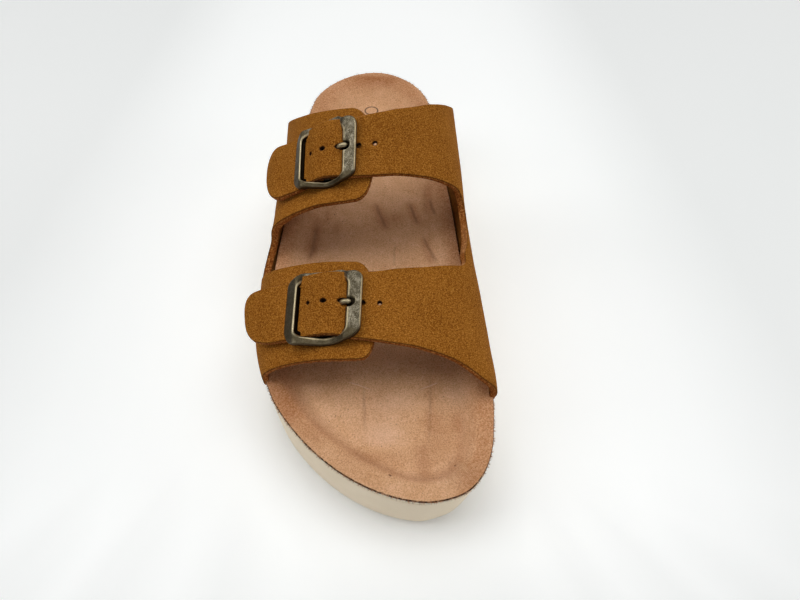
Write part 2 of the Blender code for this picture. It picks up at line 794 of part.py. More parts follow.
def painted(name, colour, roughness, metallic):
    material = bpy.data.materials.new(name)
    material.use_nodes = True
    shader = material.node_tree.nodes["Principled BSDF"]
    shader.inputs["Base Color"].default_value = (*colour, 1.0)
    shader.inputs["Roughness"].default_value = roughness
    shader.inputs["Metallic"].default_value = metallic
    return material


def build():
    for existing in list(bpy.data.objects):
        bpy.data.objects.remove(existing, do_unlink=True)
    pieces = collection("platform_sandal")
    tools = collection("cutters")
    cream = painted("cream_foam", (0.80, 0.74, 0.62), 0.55, 0.0)
    bed = painted("bed_suede", (0.52, 0.31, 0.20), 0.95, 0.0)
    tan = painted("tan_suede", (0.36, 0.17, 0.04), 0.95, 0.0)
    brass = painted("aged_brass", (0.30, 0.24, 0.16), 0.35, 1.0)

    made = [(make_sole(), cream), (make_footbed(), bed)]
    buckles = (REAR_BUCKLE, FRONT_BUCKLE)
    medial = leather_sheet(
        "upper_medial", REAR_STRAP, FRONT_STRAP, MEDIAL_OPENING, (REAR_TIP, FRONT_TIP), (20, 20), buckles)
    lateral = leather_sheet(
        "upper_lateral", REAR_TAB, FRONT_TAB, LATERAL_OPENING, (TAB_END, TAB_END), (8, 8), (None, None))
    made += [(medial, tan), (lateral, tan)]
    cutters = []
    for place, buckle in (("rear", REAR_BUCKLE), ("front", FRONT_BUCKLE)):
        frame, bar = make_buckle("buckle_" + place + "_frame", buckle)
        prong = tube("buckle_" + place + "_prong", prong_loops(buckle, 0.0, 0, len(PRONG.rows)))
        made += [(frame, brass), (prong, brass)]
        cutters.append(bar)
        way = tube("prong_way_" + place, prong_loops(buckle, PRONG_CLEARANCE, 4, 10))
        join(medial, way, "DIFFERENCE")
        cutters.append(way)
        for step in (-2, -1, 1, 2):
            hole = make_hole("hole_" + place + str(step), buckle, PRONG_HOLE + step * HOLE_PITCH)
            join(medial, hole, "DIFFERENCE")
            cutters.append(hole)
    for piece, material in made:
        piece.data.materials.append(material)
        pieces.objects.link(piece)
    for tool in cutters:
        tool.hide_render = True
        tool.display_type = "WIRE"
        tools.objects.link(tool)


build()
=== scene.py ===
"""Looks of the platform sandal: a high-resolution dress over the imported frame.

The shoe's own sizes are in millimetres. "along" runs from the heel (0) to the toe, lateral is
the outer side (negative), medial the inner side (positive). "across" runs over the instep: -1 at
the lateral edge of the bed, 0 on the ridge and 1 at the medial edge.
"""
import math

import bmesh
import bpy
import numpy as np
from mathutils import Matrix, Vector
from mathutils.geometry import delaunay_2d_cdt


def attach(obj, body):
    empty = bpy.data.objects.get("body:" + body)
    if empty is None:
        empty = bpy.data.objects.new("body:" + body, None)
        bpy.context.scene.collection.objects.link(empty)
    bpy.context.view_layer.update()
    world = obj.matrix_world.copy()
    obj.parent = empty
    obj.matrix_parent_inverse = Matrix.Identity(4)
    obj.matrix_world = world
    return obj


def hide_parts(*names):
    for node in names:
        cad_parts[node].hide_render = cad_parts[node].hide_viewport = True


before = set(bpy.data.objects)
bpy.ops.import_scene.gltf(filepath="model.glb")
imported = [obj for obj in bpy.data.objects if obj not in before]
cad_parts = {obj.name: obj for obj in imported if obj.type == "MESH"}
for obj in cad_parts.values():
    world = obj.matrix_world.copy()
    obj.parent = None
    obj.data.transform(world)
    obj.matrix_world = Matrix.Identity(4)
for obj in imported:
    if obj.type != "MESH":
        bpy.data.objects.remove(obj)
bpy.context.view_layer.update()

MM = 0.001
LENGTH = 267.0
CENTRE_X = -4.6
BED_GAP = 0.5

SOLE_DRAFT = 2.4
SOLE_FOOT_RADIUS = 2.0
TOE_SPRING = 3.0
TOE_SPRING_FROM = 226.0
ARCH_LIFT = 2.5
ARCH_FROM = 92.0
ARCH_TO = 148.0
SOLE_EDGE_ROUND = 0.6

BED_THICKNESS = 3.0
DOME_RISE = 2.2
DOME_ALONG = 160.0
DOME_LENGTH = 20.0
DOME_WIDTH = 16.0
TOE_BAR_RISE = 1.5
TOE_BAR_ALONG = 208.0
TOE_BAR_LENGTH = 15.0
TOE_BAR_WIDTH = 30.0

LEATHER = 2.8
LEATHER_SEAT = 1.8
TUCK = 6.5
TUCK_GAP = 0.5
RIM_ACROSS = 0.92
LEDGE = 9.0
SEAT_MARGIN = 2.0
FOOT_MIDDLE = 30.0
# Steps over which the instep's direction is measured.
NORMAL_ALONG = 1.5
NORMAL_ACROSS = 0.02

CENTRE_BAR_WIDTH = 3.2
CENTRE_BAR_THICKNESS = 1.2
CENTRE_BAR_BASE = 3.1
CENTRE_BAR_RISE = 0.9
CENTRE_BAR_RAMP = 3.0


def hermite(t, start, end, leaving, arriving):
    """Smooth way from start to end, with the given changes over the step at both of them."""
    first = start * (2 * t**3 - 3 * t**2 + 1) + leaving * (t**3 - 2 * t**2 + t)
    last = end * (3 * t**2 - 2 * t**3) + arriving * (t**3 - t**2)
    return first + last


class Table:
    """Rows of named columns, read as smooth curves of the first column without overshoot."""

    def __init__(self, names, rows):
        self.names = names.split()
        self.rows = np.array(sorted(rows), dtype=float)

    def column(self, name):
        return self.rows[:, self.names.index(name)]

    def at(self, name, where):
        xs = self.rows[:, 0]
        ys = self.column(name)
        step = np.diff(xs)
        slope = np.diff(ys) / step
        tangent = np.zeros(len(xs))
        tangent[0] = slope[0]
        tangent[-1] = slope[-1]
        same = slope[:-1] * slope[1:] > 0
        mean = 2 * slope[:-1] * slope[1:] / np.where(same, slope[:-1] + slope[1:], 1.0)
        tangent[1:-1] = np.where(same, mean, 0.0)
        where = np.clip(np.asarray(where, dtype=float), xs[0], xs[-1])
        i = np.clip(np.searchsorted(xs, where) - 1, 0, len(step) - 1)
        t = (where - xs[i]) / step[i]
        return hermite(t, ys[i], ys[i + 1], step[i] * tangent[i], step[i] * tangent[i + 1])


OUTLINE = Table("along lateral medial", (
    (0.0, 0.0, 0.0),
    (1.2, -9.0, 7.0),
    (5.5, -18.6, 15.0),
    (12.0, -26.6, 22.2),
    (22.0, -34.0, 28.6),
    (36.0, -38.1, 32.6),
    (60.0, -41.0, 35.4),
    (90.0, -44.8, 38.4),
    (120.0, -49.2, 41.0),
    (150.0, -52.2, 42.6),
    (180.0, -53.4, 44.8),
    (204.0, -52.0, 47.0),
    (222.0, -45.8, 48.4),
    (236.0, -36.1, 47.2),
    (248.0, -24.4, 44.8),
    (257.0, -12.2, 40.3),
    (263.0, 0.0, 34.2),
    (266.2, 11.2, 25.4),
    (267.0, 18.2, 18.2),
))

BED = Table("along lateral_rim medial_rim depth shoulder slope", (
    (0.0, 51.0, 51.0, 9.5, 2.0, 18.0),
    (45.0, 49.8, 50.4, 11.0, 2.0, 19.0),
    (80.0, 47.8, 49.8, 9.0, 2.0, 20.0),
    (110.0, 45.8, 48.4, 7.0, 2.0, 20.0),
    (150.0, 42.8, 44.6, 5.5, 2.0, 17.0),
    (190.0, 39.2, 39.6, 5.5, 3.0, 14.0),
    (220.0, 36.5, 36.5, 5.0, 5.5, 10.0),
    (250.0, 34.2, 34.2, 4.2, 7.0, 8.0),
    (267.0, 33.5, 33.5, 4.0, 7.0, 8.0),
))

# Place on the centre line that the rings of bed and sole are drawn in towards.
SPINE = Table("along target", (
    (0.0, 34.0),
    (40.0, 54.0),
    (80.0, 86.0),
    (180.0, 179.0),
    (225.0, 213.0),
    (267.0, 229.0),
))

LAST_COLUMNS = (
    "along ridge_x ridge_z lateral_wall medial_wall "
    "lateral_bulge medial_bulge lateral_power medial_power"
)
LAST = Table(LAST_COLUMNS, (
    (40.0, 5.0, 144.0, 14.0, 16.0, 4.4, 4.6, 1.55, 2.1),
    (70.0, 5.0, 127.0, 14.0, 16.0, 3.2, 3.4, 1.60, 2.1),
    (112.0, 4.0, 99.6, 12.0, 14.0, -1.0, 1.2, 1.65, 2.1),
    (139.0, 3.0, 82.0, 10.0, 11.0, -0.9, 0.2, 1.75, 2.1),
    (160.0, 2.5, 74.0, 8.0, 9.0, -0.3, 0.2, 1.85, 2.1),
    (181.0, 2.5, 67.3, 6.0, 6.0, 0.4, 0.9, 2.00, 2.1),
    (216.0, 3.0, 59.1, 3.0, 3.0, 0.0, 0.4, 2.10, 2.1),
    (240.0, 4.0, 54.0, 2.0, 2.0, 0.0, 0.0, 2.10, 2.1),
))

FRONT_STRAP = Table("across rear front", (
    (1.00, 170.0, 223.0),
    (0.90, 170.2, 224.2),
    (0.80, 170.5, 224.0),
    (0.70, 171.2, 223.2),
    (0.60, 172.4, 220.8),
    (0.47, 174.7, 217.6),
    (0.34, 176.9, 215.4),
    (0.22, 178.6, 214.2),
    (0.10, 180.2, 213.4),
    (-0.06, 181.4, 211.6),
    (-0.17, 181.3, 210.2),
    (-0.36, 181.0, 208.2),
    (-0.48, 180.2, 207.4),
    (-0.56, 181.6, 207.0),
    (-0.60, 182.0, 206.9),
    (-0.68, 181.6, 206.2),
    (-0.74, 181.6, 204.4),
    (-0.82, 182.0, 200.5),
))

REAR_STRAP = Table("across rear front", (
    (1.00, 72.0, 132.0),
    (0.80, 77.0, 131.0),
    (0.60, 85.0, 132.4),
    (0.45, 95.3, 134.3),
    (0.30, 103.6, 135.4),
    (0.10, 111.2, 137.0),
    (-0.02, 113.3, 137.6),
    (-0.13, 113.8, 137.2),
    (-0.24, 112.8, 136.3),
    (-0.36, 111.6, 135.7),
    (-0.48, 111.0, 136.9),
    (-0.55, 109.4, 136.5),
    (-0.62, 107.0, 135.8),
    (-0.74, 103.0, 134.0),
))

FRONT_TAB = Table("across rear front", (
    (-1.00, 168.0, 212.5),
    (-0.89, 167.6, 213.4),
    (-0.77, 168.6, 214.8),
    (-0.67, 170.4, 215.4),
    (-0.56, 171.8, 215.9),
    (-0.40, 173.0, 216.7),
    (-0.28, 173.9, 217.5),
    (-0.18, 174.8, 217.8),
    (-0.03, 175.6, 217.8),
))

REAR_TAB = Table("across rear front", (
    (-1.00, 70.0, 140.0),
    (-0.80, 73.0, 143.0),
    (-0.70, 81.2, 144.2),
    (-0.60, 89.2, 145.0),
    (-0.50, 95.6, 145.3),
    (-0.40, 100.4, 145.4),
    (-0.31, 103.9, 146.1),
    (-0.20, 107.1, 146.6),
    (-0.12, 108.8, 146.6),
    (-0.03, 110.4, 146.4),
))

# Height of the strap's underside over the bare instep, by distance from the buckle's middle.
STRAP_LIFT = Table("reach height", (
    (60.0, 0.0),
    (42.0, 0.4),
    (27.0, 3.2),
    (9.5, 3.2),
    (7.0, 4.1),
    (4.0, 5.3),
    (0.0, 5.8),
    (-4.0, 5.2),
    (-9.0, 3.8),
    (-16.0, 3.6),
    (-22.0, 4.2),
    (-28.0, 5.8),
    (-36.0, 8.6),
))

FRONT_BUCKLE = {"along": 195.7, "across": -0.325, "slope": 0.970, "slant": 0.07}
REAR_BUCKLE = {"along": 125.3, "across": -0.297, "slope": 0.840, "slant": 0.09}

MEDIAL_OPENING = {"bottom": 0.695, "span": 0.15, "middle": 150.0, "power": 2.3, "tilt": -0.0034}
LATERAL_OPENING = {"bottom": -0.93, "span": 0.20, "middle": 156.0, "power": 2.8, "tilt": 0.0}
FRONT_TIP = {"end": -0.79, "span": 0.075, "power": 3.4}
REAR_TIP = {"end": -0.705, "span": 0.10, "power": 2.5}
TAB_END = {"end": -0.048, "span": 0.12, "power": 2.5}


def smooth_step(value):
    value = np.clip(value, 0.0, 1.0)
    return value * value * (3 - 2 * value)


def between(value, low, high, ramp):
    """1 between low and high, rising and falling over a ramp inside them."""
    return smooth_step((value - low) / ramp) * smooth_step((high - value) / ramp)


def unit(vectors, least=0.0):
    return vectors / (np.linalg.norm(vectors, axis=1)[:, None] + least)


def headings(loop):
    """Direction of a closed loop at each of its points."""
    return unit(np.roll(loop, -1, axis=0) - np.roll(loop, 1, axis=0))


def placed(points):
    """Shoe sizes (across, along, up) in millimetres to the part's own frame in metres."""
    points = np.asarray(points, dtype=float)
    x = points[..., 0] - CENTRE_X
    y = LENGTH / 2 - points[..., 1]
    return np.stack([x, y, points[..., 2]], axis=-1) * MM


def half_outline(along, side):
    line = LATERAL_SIDE if side < 0 else MEDIAL_SIDE
    return np.interp(along, line[:, 1], line[:, 0])


def rim_height(along, side):
    return BED.at("lateral_rim" if side < 0 else "medial_rim", along)


def run_length(line):
    """Distance along a line of points at each of them."""
    return np.concatenate([[0], np.cumsum(np.linalg.norm(np.diff(line, axis=0), axis=1))])


def leather_rear():
    return REAR_STRAP.at("rear", 1.0)


def leather_front(side):
    strap = FRONT_TAB if side < 0 else FRONT_STRAP
    return strap.at("front", side * RIM_ACROSS)


def plan_loop(fractions):
    """Closed loop of outline points: heel, lateral side, toe, medial side back to the heel."""
    sides = []
    for line in (LATERAL_SIDE, MEDIAL_SIDE):
        length = run_length(line)
        x = np.interp(fractions * length[-1], length, line[:, 0])
        y = np.interp(fractions * length[-1], length, line[:, 1])
        sides.append(np.column_stack([x, y]))
    return np.vstack([sides[0], sides[1][-2:0:-1]])


def spine(loop):
    """Point of the centre line that each outline point is drawn in towards."""
    along = SPINE.at("target", loop[:, 1])
    x = (half_outline(along, -1) + half_outline(along, 1)) / 2
    return np.column_stack([x, along])


def drawn_in(loop, inset):
    """The loop moved towards the spine by a distance at each of its points."""
    middle = spine(loop)
    reach = np.linalg.norm(middle - loop, axis=1)
    share = inset / reach
    return loop + (middle - loop) * share[:, None]


def side_share(points):
    """0 at the lateral edge and 1 at the medial edge, for heights that differ by side."""
    low = half_outline(points[:, 1], -1)
    high = half_outline(points[:, 1], 1)
    return np.clip((points[:, 0] - low) / np.maximum(high - low, 1.0), 0.0, 1.0)


def leather_zone(points):
    """1 where the straps tuck in under the bed's edge, 0 in front of and behind them."""
    lateral = points[:, 0] < (half_outline(points[:, 1], -1) + half_outline(points[:, 1], 1)) / 2
    front = np.where(lateral, leather_front(-1), leather_front(1))
    ahead = np.clip(front + SEAT_MARGIN - points[:, 1], 0, 1)
    behind = np.clip(points[:, 1] - leather_rear() + SEAT_MARGIN, 0, 1)
    return ahead * behind


def bed_height(points, inset):
    """Top of the footbed: rim, then a soft slope down to the bed, with dome and toe bar."""
    along = points[:, 1]
    share = smooth_step(side_share(points))
    rim = rim_height(along, -1) * (1 - share) + rim_height(along, 1) * share
    sunk = smooth_step((inset - BED.at("shoulder", along)) / BED.at("slope", along))
    middle = (half_outline(along, -1) + half_outline(along, 1)) / 2
    off = points[:, 0] - middle
    dome_reach = ((along - DOME_ALONG) / DOME_LENGTH)**2 + (off / DOME_WIDTH)**2
    bar_reach = ((along - TOE_BAR_ALONG) / TOE_BAR_LENGTH)**2 + (off / TOE_BAR_WIDTH)**4
    dome = DOME_RISE * np.exp(-dome_reach)
    bar = TOE_BAR_RISE * np.exp(-bar_reach)
    return rim + sunk * (dome + bar - BED.at("depth", along))


def floor_height(along):
    """Underside of the sole: flat heel and forefoot, lifted arch and toe."""
    arch = np.sin(np.pi * np.clip((along - ARCH_FROM) / (ARCH_TO - ARCH_FROM), 0, 1))**2
    toe = np.clip((along - TOE_SPRING_FROM) / (LENGTH - TOE_SPRING_FROM), 0, 1)**2
    return ARCH_LIFT * arch + TOE_SPRING * toe


def wall_lines(along, side, count=48):
    """Inner line of the leather on one side of each section, from the bed's edge to the ridge."""
    name = "lateral" if side < 0 else "medial"
    edge = half_outline(along, side) - side * LEATHER_SEAT
    foot = rim_height(along, side) - BED_THICKNESS - TUCK_GAP
    bulge = side * LAST.at(name + "_bulge", along)
    shoulder = rim_height(along, side) + LAST.at(name + "_wall", along)
    power = 2.0 / LAST.at(name + "_power", along)[:, None]
    ridge_x = LAST.at("ridge_x", along)[:, None]
    ridge_z = LAST.at("ridge_z", along)[:, None]
    rise = np.linspace(0, 1, count // 4, endpoint=False)[None, :]
    rim = ((rim_height(along, side) - foot) / (shoulder - foot))[:, None]
    lean = np.clip((rise - rim) / (1 - rim), 0, 1)
    wall_x = edge[:, None] + bulge[:, None] * (1 - (1 - lean)**2)
    wall_z = foot[:, None] + (shoulder - foot)[:, None] * rise
    angle = np.linspace(0, np.pi / 2, count - count // 4)[None, :]
    arch_x = ridge_x + ((edge + bulge)[:, None] - ridge_x) * np.clip(np.cos(angle), 0, 1)**power
    arch_z = shoulder[:, None] + (ridge_z - shoulder[:, None]) * np.clip(np.sin(angle), 0, 1)**power
    return np.stack([np.hstack([wall_x, arch_x]), np.hstack([wall_z, arch_z])], axis=-1)


def half_girth(along, side):
    line = wall_lines(np.atleast_1d(np.asarray(along, dtype=float)), side)
    return np.linalg.norm(np.diff(line, axis=1), axis=2).sum(axis=1)


def instep(along, across):
    """Bare instep surface, where the underside of the leather lies."""
    along = np.asarray(along, dtype=float)
    across = np.asarray(across, dtype=float)
    result = np.zeros((len(along), 3))
    result[:, 1] = along
    for side in (-1, 1):
        chosen = np.nonzero((across < 0) == (side < 0))[0]
        if len(chosen) == 0:
            continue
        line = wall_lines(along[chosen], side)
        run = np.linalg.norm(np.diff(line, axis=1), axis=2)
        run = np.concatenate([np.zeros((len(chosen), 1)), np.cumsum(run, axis=1)], axis=1)
        wanted = (1 - np.abs(across[chosen])) * run[:, -1]
        i = np.clip((run < wanted[:, None]).sum(axis=1) - 1, 0, run.shape[1] - 2)
        row = np.arange(len(chosen))
        t = (wanted - run[row, i]) / (run[row, i + 1] - run[row, i])
        point = line[row, i] * (1 - t)[:, None] + line[row, i + 1] * t[:, None]
        result[chosen, 0] = point[:, 0]
        result[chosen, 2] = point[:, 1]
    return result


def raised(along, across, height):
    """Point at a height over the instep, measured square to it."""
    along = np.asarray(along, dtype=float)
    across = np.asarray(across, dtype=float)
    ahead = instep(along + NORMAL_ALONG, across) - instep(along - NORMAL_ALONG, across)
    far = instep(along, np.clip(across + NORMAL_ACROSS, -1, 1))
    near = instep(along, np.clip(across - NORMAL_ACROSS, -1, 1))
    normal = unit(np.cross(ahead, far - near))
    middle = instep(along, 0 * across)
    inside = middle * [1, 1, 0] + [0, 0, FOOT_MIDDLE]
    here = instep(along, across)
    flip = np.sign(np.einsum("ij,ij->i", normal, here - inside))
    return here + normal * (flip * height)[:, None]


def tucked(along, side, depth):
    """Margin of the leather that lies under the edge of the footbed."""
    along = np.asarray(along, dtype=float)
    inset = np.full(len(along), LEATHER_SEAT + depth)
    edge = np.column_stack([half_outline(along, side), along])
    point = drawn_in(edge, inset)
    return np.column_stack([point, bed_height(point, inset) - BED_THICKNESS - TUCK_GAP])


def rounded(share, power):
    """Width left at a share of the way round a soft end."""
    return (1 - np.clip(share, 0, 1)**power)**(1 / power)


def strap_edges(strap, across, opening, inner, tip):
    """Rear and front edge of a strap at one place, with its rounded opening and end."""
    rear = float(strap.at("rear", across))
    front = float(strap.at("front", across))
    towards = np.sign(opening["bottom"])
    past = towards * (opening["bottom"] - across) / opening["span"]
    if past < 1:
        grown = rounded(1 - max(past, 0.0), opening["power"]) if past > 0 else 0.0
        if inner == "front":
            front = opening["middle"] + grown * (front - opening["middle"])
        else:
            rear = opening["middle"] + grown * (rear - opening["middle"])
    left = abs(across - tip["end"]) / tip["span"]
    if left < 1:
        middle = (rear + front) / 2
        kept = rounded(1 - left, tip["power"])
        rear = middle + kept * (rear - middle)
        front = middle + kept * (front - middle)
    return rear, front


def lift_at(along, across, buckle):
    """Height of a strap's underside where it climbs over the tab and through the buckle."""
    centre = buckle["across"] * half_girth(buckle["along"], -1)[0]
    girth = np.where(across < 0, half_girth(along, -1), half_girth(along, 1))
    return STRAP_LIFT.at("height", across * girth - centre)


def on_strap(buckle, reach, along, height):
    """Point of a buckle: reach along the strap, distance across it, height over the instep."""
    reach = np.asarray(reach, dtype=float)
    off = np.asarray(along, dtype=float)
    place = buckle["along"] + off * buckle["slope"] + buckle["slant"] * reach
    centre = buckle["across"] * half_girth(buckle["along"], -1)[0]
    return raised(place, (centre + reach) / half_girth(place, -1), np.asarray(height, dtype=float))


# Curves and meshes

def spline(points, samples, closed=False):
    """Smooth curve through points, its tangents weighted by the distance to each neighbour."""
    points = np.asarray(points, dtype=float)
    if not closed:
        points = np.vstack([2 * points[0] - points[1], points, 2 * points[-1] - points[-2]])
    before = np.roll(points, 1, axis=0)
    after = np.roll(points, -1, axis=0)
    chord = np.linalg.norm(after - points, axis=1)[:, None]
    chord_before = np.roll(chord, 1, axis=0)
    arriving = (points - before) / chord_before
    leaving = (after - points) / chord
    tangent = (arriving * chord + leaving * chord_before) / (chord + chord_before)
    t = np.linspace(0, 1, samples, endpoint=False)[None, :, None]
    here = points[:, None, :]
    there = after[:, None, :]
    out = (tangent * chord)[:, None, :]
    back = (np.roll(tangent, -1, axis=0) * chord)[:, None, :]
    curve = hermite(t, here, there, out, back)
    if closed:
        return curve.reshape(-1, points.shape[1])
    return np.vstack([curve[1:-2].reshape(-1, points.shape[1]), points[-2:-1]])


def outline_sides(samples=60):
    """Both sides of the plan outline as fine smooth lines from the heel to the toe."""
    along = OUTLINE.column("along")
    lateral = np.column_stack([OUTLINE.column("lateral"), along])
    medial = np.column_stack([OUTLINE.column("medial"), along])
    fine = spline(np.vstack([lateral, medial[-2:0:-1]]), samples, closed=True)
    turn = (len(along) - 1) * samples
    return fine[:turn + 1], np.vstack([fine[turn:], fine[:1]])[::-1]


LATERAL_SIDE, MEDIAL_SIDE = outline_sides()


def ring(loop, inset, height):
    return np.column_stack([drawn_in(loop, inset), height])


def ring_faces(levels, count, closed=True):
    """Quads between stacked loops of equal length."""
    faces = []
    for level in range(levels - 1):
        base = level * count
        for j in range(count if closed else count - 1):
            k = (j + 1) % count
            faces.append((base + j, base + k, base + count + k, base + count + j))
    return faces


def solid_from_rings(rings):
    """Points and faces of a closed solid whose end loops are zipped shut across the shoe."""
    count = len(rings[0])
    faces = ring_faces(len(rings), count)
    last = (len(rings) - 1) * count
    for j in range(count // 2):
        corners = list(dict.fromkeys([j, j + 1, (count - j - 1) % count, (count - j) % count]))
        faces.append(tuple(reversed(corners)))
        faces.append(tuple(last + corner for corner in corners))
    return np.vstack(rings), faces


def linked(name, data):
    """New object of the scene."""
    made = bpy.data.objects.new(name, data)
    bpy.context.scene.collection.objects.link(made)
    return made


def set_mark(mesh, name, values):
    """A value at each point of a mesh, for its material."""
    layer = mesh.attributes.new(name, "FLOAT", "POINT")
    layer.data.foreach_set("value", np.asarray(values, dtype=np.float32))


def piece(name, points, faces, material, nodes=(), marks=None):
    """Smooth mesh that rides on the frame, with marks (values at its points) for its material."""
    mesh = bpy.data.meshes.new(name)
    mesh.from_pydata(placed(points).tolist(), [], faces)
    for mark, values in (marks or {}).items():
        set_mark(mesh, mark, values)
    shape = bmesh.new()
    shape.from_mesh(mesh)
    bmesh.ops.recalc_face_normals(shape, faces=shape.faces)
    shape.to_mesh(mesh)
    shape.free()
    mesh.materials.append(material)
    mesh.shade_smooth()
    made = linked(name, mesh)
    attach(made, "root")
    for node in nodes:
        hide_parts(node)
    return made


# Sizes of the sole and footbed

SIDE_STATIONS = 150
SOLE_PROFILE = Table("rise inset", (
    (0.0, SOLE_DRAFT + SOLE_FOOT_RADIUS),
    (0.25, 3.5),
    (0.8, 2.85),
    (2.0, 2.4),
    (10.0, 1.2),
    (20.0, 0.3),
))
SOLE_RISES = (0.0, 0.1, 0.25, 0.5, 0.8, 1.3, 2.0, 4.0, 7.0, 10.0, 13.0, 16.0, 20.0)
SOLE_FLOOR_SHARES = (0.25, 0.5, 0.75, 0.95)
SOLE_WALL_SHARES = (0.35, 0.7, 1.0)
SOLE_EDGE_TURNS = (30.0, 60.0, 90.0)
SOLE_LEAN = {"x": -0.9, "along": 0.4, "share": 0.6, "least": -0.6}
SOLE_TUCK = {"x": 0.75, "along": 0.66, "from": 0.6, "share": 0.15, "overhang": 1.4}
SOLE_TOP_INSETS = (LEATHER_SEAT + TUCK / 2, LEDGE, LEDGE + 0.4, 14.0, 20.0)
BED_RINGS = (0.6, 1.2, 2.0, 3.0, 4.2, 5.4, 6.6, *np.arange(7.6, 19.0, 0.6))
BED_EDGE_RINGS = (0.0, 0.2, 0.45)
BED_EDGE_ROUND = 0.6
BED_EDGE_FADE = 1.2
LINING = 1.3
LINING_STEP = 0.1
SEAT_RAMP = 7.0
SEAT_CLEAR = 1.0
SEAT_OPEN = 0.01
# Darker band inside the bed's rim, which turns pale at the toe except on its medial side.
RIM_BAND = {"from": 5.0, "fade": 8.0, "pale": 0.9}
RIM_PALE = {"from": 226.0, "over": 20.0, "medial": 24.0, "medial_over": 12.0}
BED_UNDER = (0.0, LEATHER_SEAT + TUCK / 2, LEDGE, 14.0, 20.0)
BED_SHARES = tuple(np.linspace(0, 0.96, 21)[1:])
UNDER_SHARES = (0.35, 0.7, 0.96)

# Crease where the toe rim drops into the basin, and the folds pressed into the lining.
BASIN = {"lateral_from": 218.0, "medial_from": 212.0, "ramp": 26.0, "width": 1.7, "depth": 0.34}
BASIN_INSET = Table("along lateral medial", (
    (205.0, 6.5, 14.4),
    (215.0, 7.0, 14.5),
    (225.0, 7.8, 14.6),
    (235.0, 8.5, 14.7),
    (246.0, 9.5, 14.2),
    (251.0, 10.0, 13.2),
    (257.0, 10.5, 10.5),
))
BED_FOLDS = Table("start_along start_x end_along end_x width depth", (
    (104.0, -2.4, 131.0, 5.7, 2.6, 0.75),
    (104.0, 16.3, 128.0, 22.0, 2.4, 0.70),
    (97.0, 26.8, 124.0, 27.5, 2.4, 0.75),
    (132.0, 22.6, 154.0, 27.6, 2.0, 0.65),
    (112.0, -30.2, 149.0, -34.8, 2.6, 0.80),
    (108.0, -27.4, 122.0, -25.8, 1.8, 0.35),
    (116.0, -20.0, 131.0, -21.4, 2.2, 0.30),
    (205.0, 22.6, 243.0, 19.8, 1.6, 0.25),
    (238.0, 16.6, 259.0, 17.2, 3.2, 0.35),
    (216.0, -7.1, 236.0, -6.8, 1.5, 0.20),
))

# Fine creases, drawn dark as painted shade, and specks (strength over 0), and light lines (under 0) that
# the lining's material draws.
BED_LINES = Table("start_along start_x end_along end_x half_width strength", (
    (106.0, -1.6, 128.0, 5.0, 1.5, 0.45),
    (107.0, 17.0, 125.5, 21.4, 1.4, 0.45),
    (108.0, 27.6, 124.0, 30.2, 1.2, 0.40),
    (131.0, 22.6, 152.5, 29.5, 1.2, 0.35),
    (136.5, 8.7, 152.5, 7.6, 1.0, 0.20),
    (118.0, -31.0, 147.0, -34.6, 1.8, 0.35),
    (206.0, 22.8, 246.0, 19.6, 1.2, 0.15),
    (212.0, -7.2, 237.0, -6.6, 1.2, 0.16),
    (212.4, -15.4, 217.3, -2.2, 0.45, -0.6),
    (217.8, 16.2, 214.1, 26.4, 0.45, -0.6),
    (255.1, 2.8, 256.3, 4.1, 0.6, 1.0),
    (251.5, 29.6, 252.6, 29.9, 0.5, 0.9),
    (114.0, -23.0, 115.1, -22.4, 0.5, 0.8),
))

# Depth at which a fold is shaded in full.
FOLD_FULL = 0.5

# Soft spots where the lining is drawn darker (strength over 0) and paler (under 0).
BED_SPOTS = Table("along x half_along half_x strength", (
    (119.5, 9.8, 5.0, 6.0, 0.45),
    (233.0, 31.8, 6.0, 2.6, 0.45),
    (243.0, 24.0, 8.0, 6.0, 0.35),
    (251.0, 17.0, 6.0, 4.0, 0.22),
    (237.4, 0.2, 7.0, 9.0, -0.28),
    (224.0, 4.0, 5.0, 12.0, -0.20),
    (5.2, -4.0, 2.0, 12.0, 0.80),
    (7.6, 9.5, 2.0, 5.0, 0.50),
    (238.0, -27.5, 7.0, 5.0, 0.35),
    (226.0, -36.0, 7.0, 4.0, 0.35),
    (218.0, -41.0, 18.0, 6.0, 0.40),
    (9.5, 0.0, 4.0, 18.0, 0.30),
    (247.0, -2.0, 4.0, 13.0, 0.35),
    (231.0, 23.0, 7.0, 6.0, 0.30),
))
# Where the lining's weave shows through: along, x and the half sizes of the spot.
WEAVE_SPOT = (257.0, 34.0, 6.0, 8.0)
WEAVE = {"pitch": 0.62, "turn": 38.0}
# Loose fibres of the lining's edge, by shares of its thickness, and the corners of one spike's faces.
FRAY = {"count": 1200, "shortest": 0.3, "longest": 1.1, "half_width": 0.13, "sway": 0.6, "seed": 7}
FRAY_DEPTH = (0.15, 0.9)
FRAY_TONES = (0.0, 0.68)
SPIKE = ((0, 2, 1), (0, 1, 3), (1, 2, 3), (2, 0, 3))
STAMP = {"along": 24.6, "x": -2.6, "half_along": 3.6, "half_x": 3.9, "line": 0.20}
# Share of a crease's or fold's length over which it fades at each end.
LINE_FADE = 0.3


# Materials

MATTE = {"Roughness": 0.95, "Specular_IOR_Level": 0.08}


def tone(red, green, blue):
    """Colour given in the 0 to 255 of a screen, as the shader's linear values."""
    channels = np.array([red, green, blue]) / 255
    linear = np.where(channels <= 0.04045, channels / 12.92, ((channels + 0.055) / 1.055)**2.4)
    return (*linear.tolist(), 1.0)


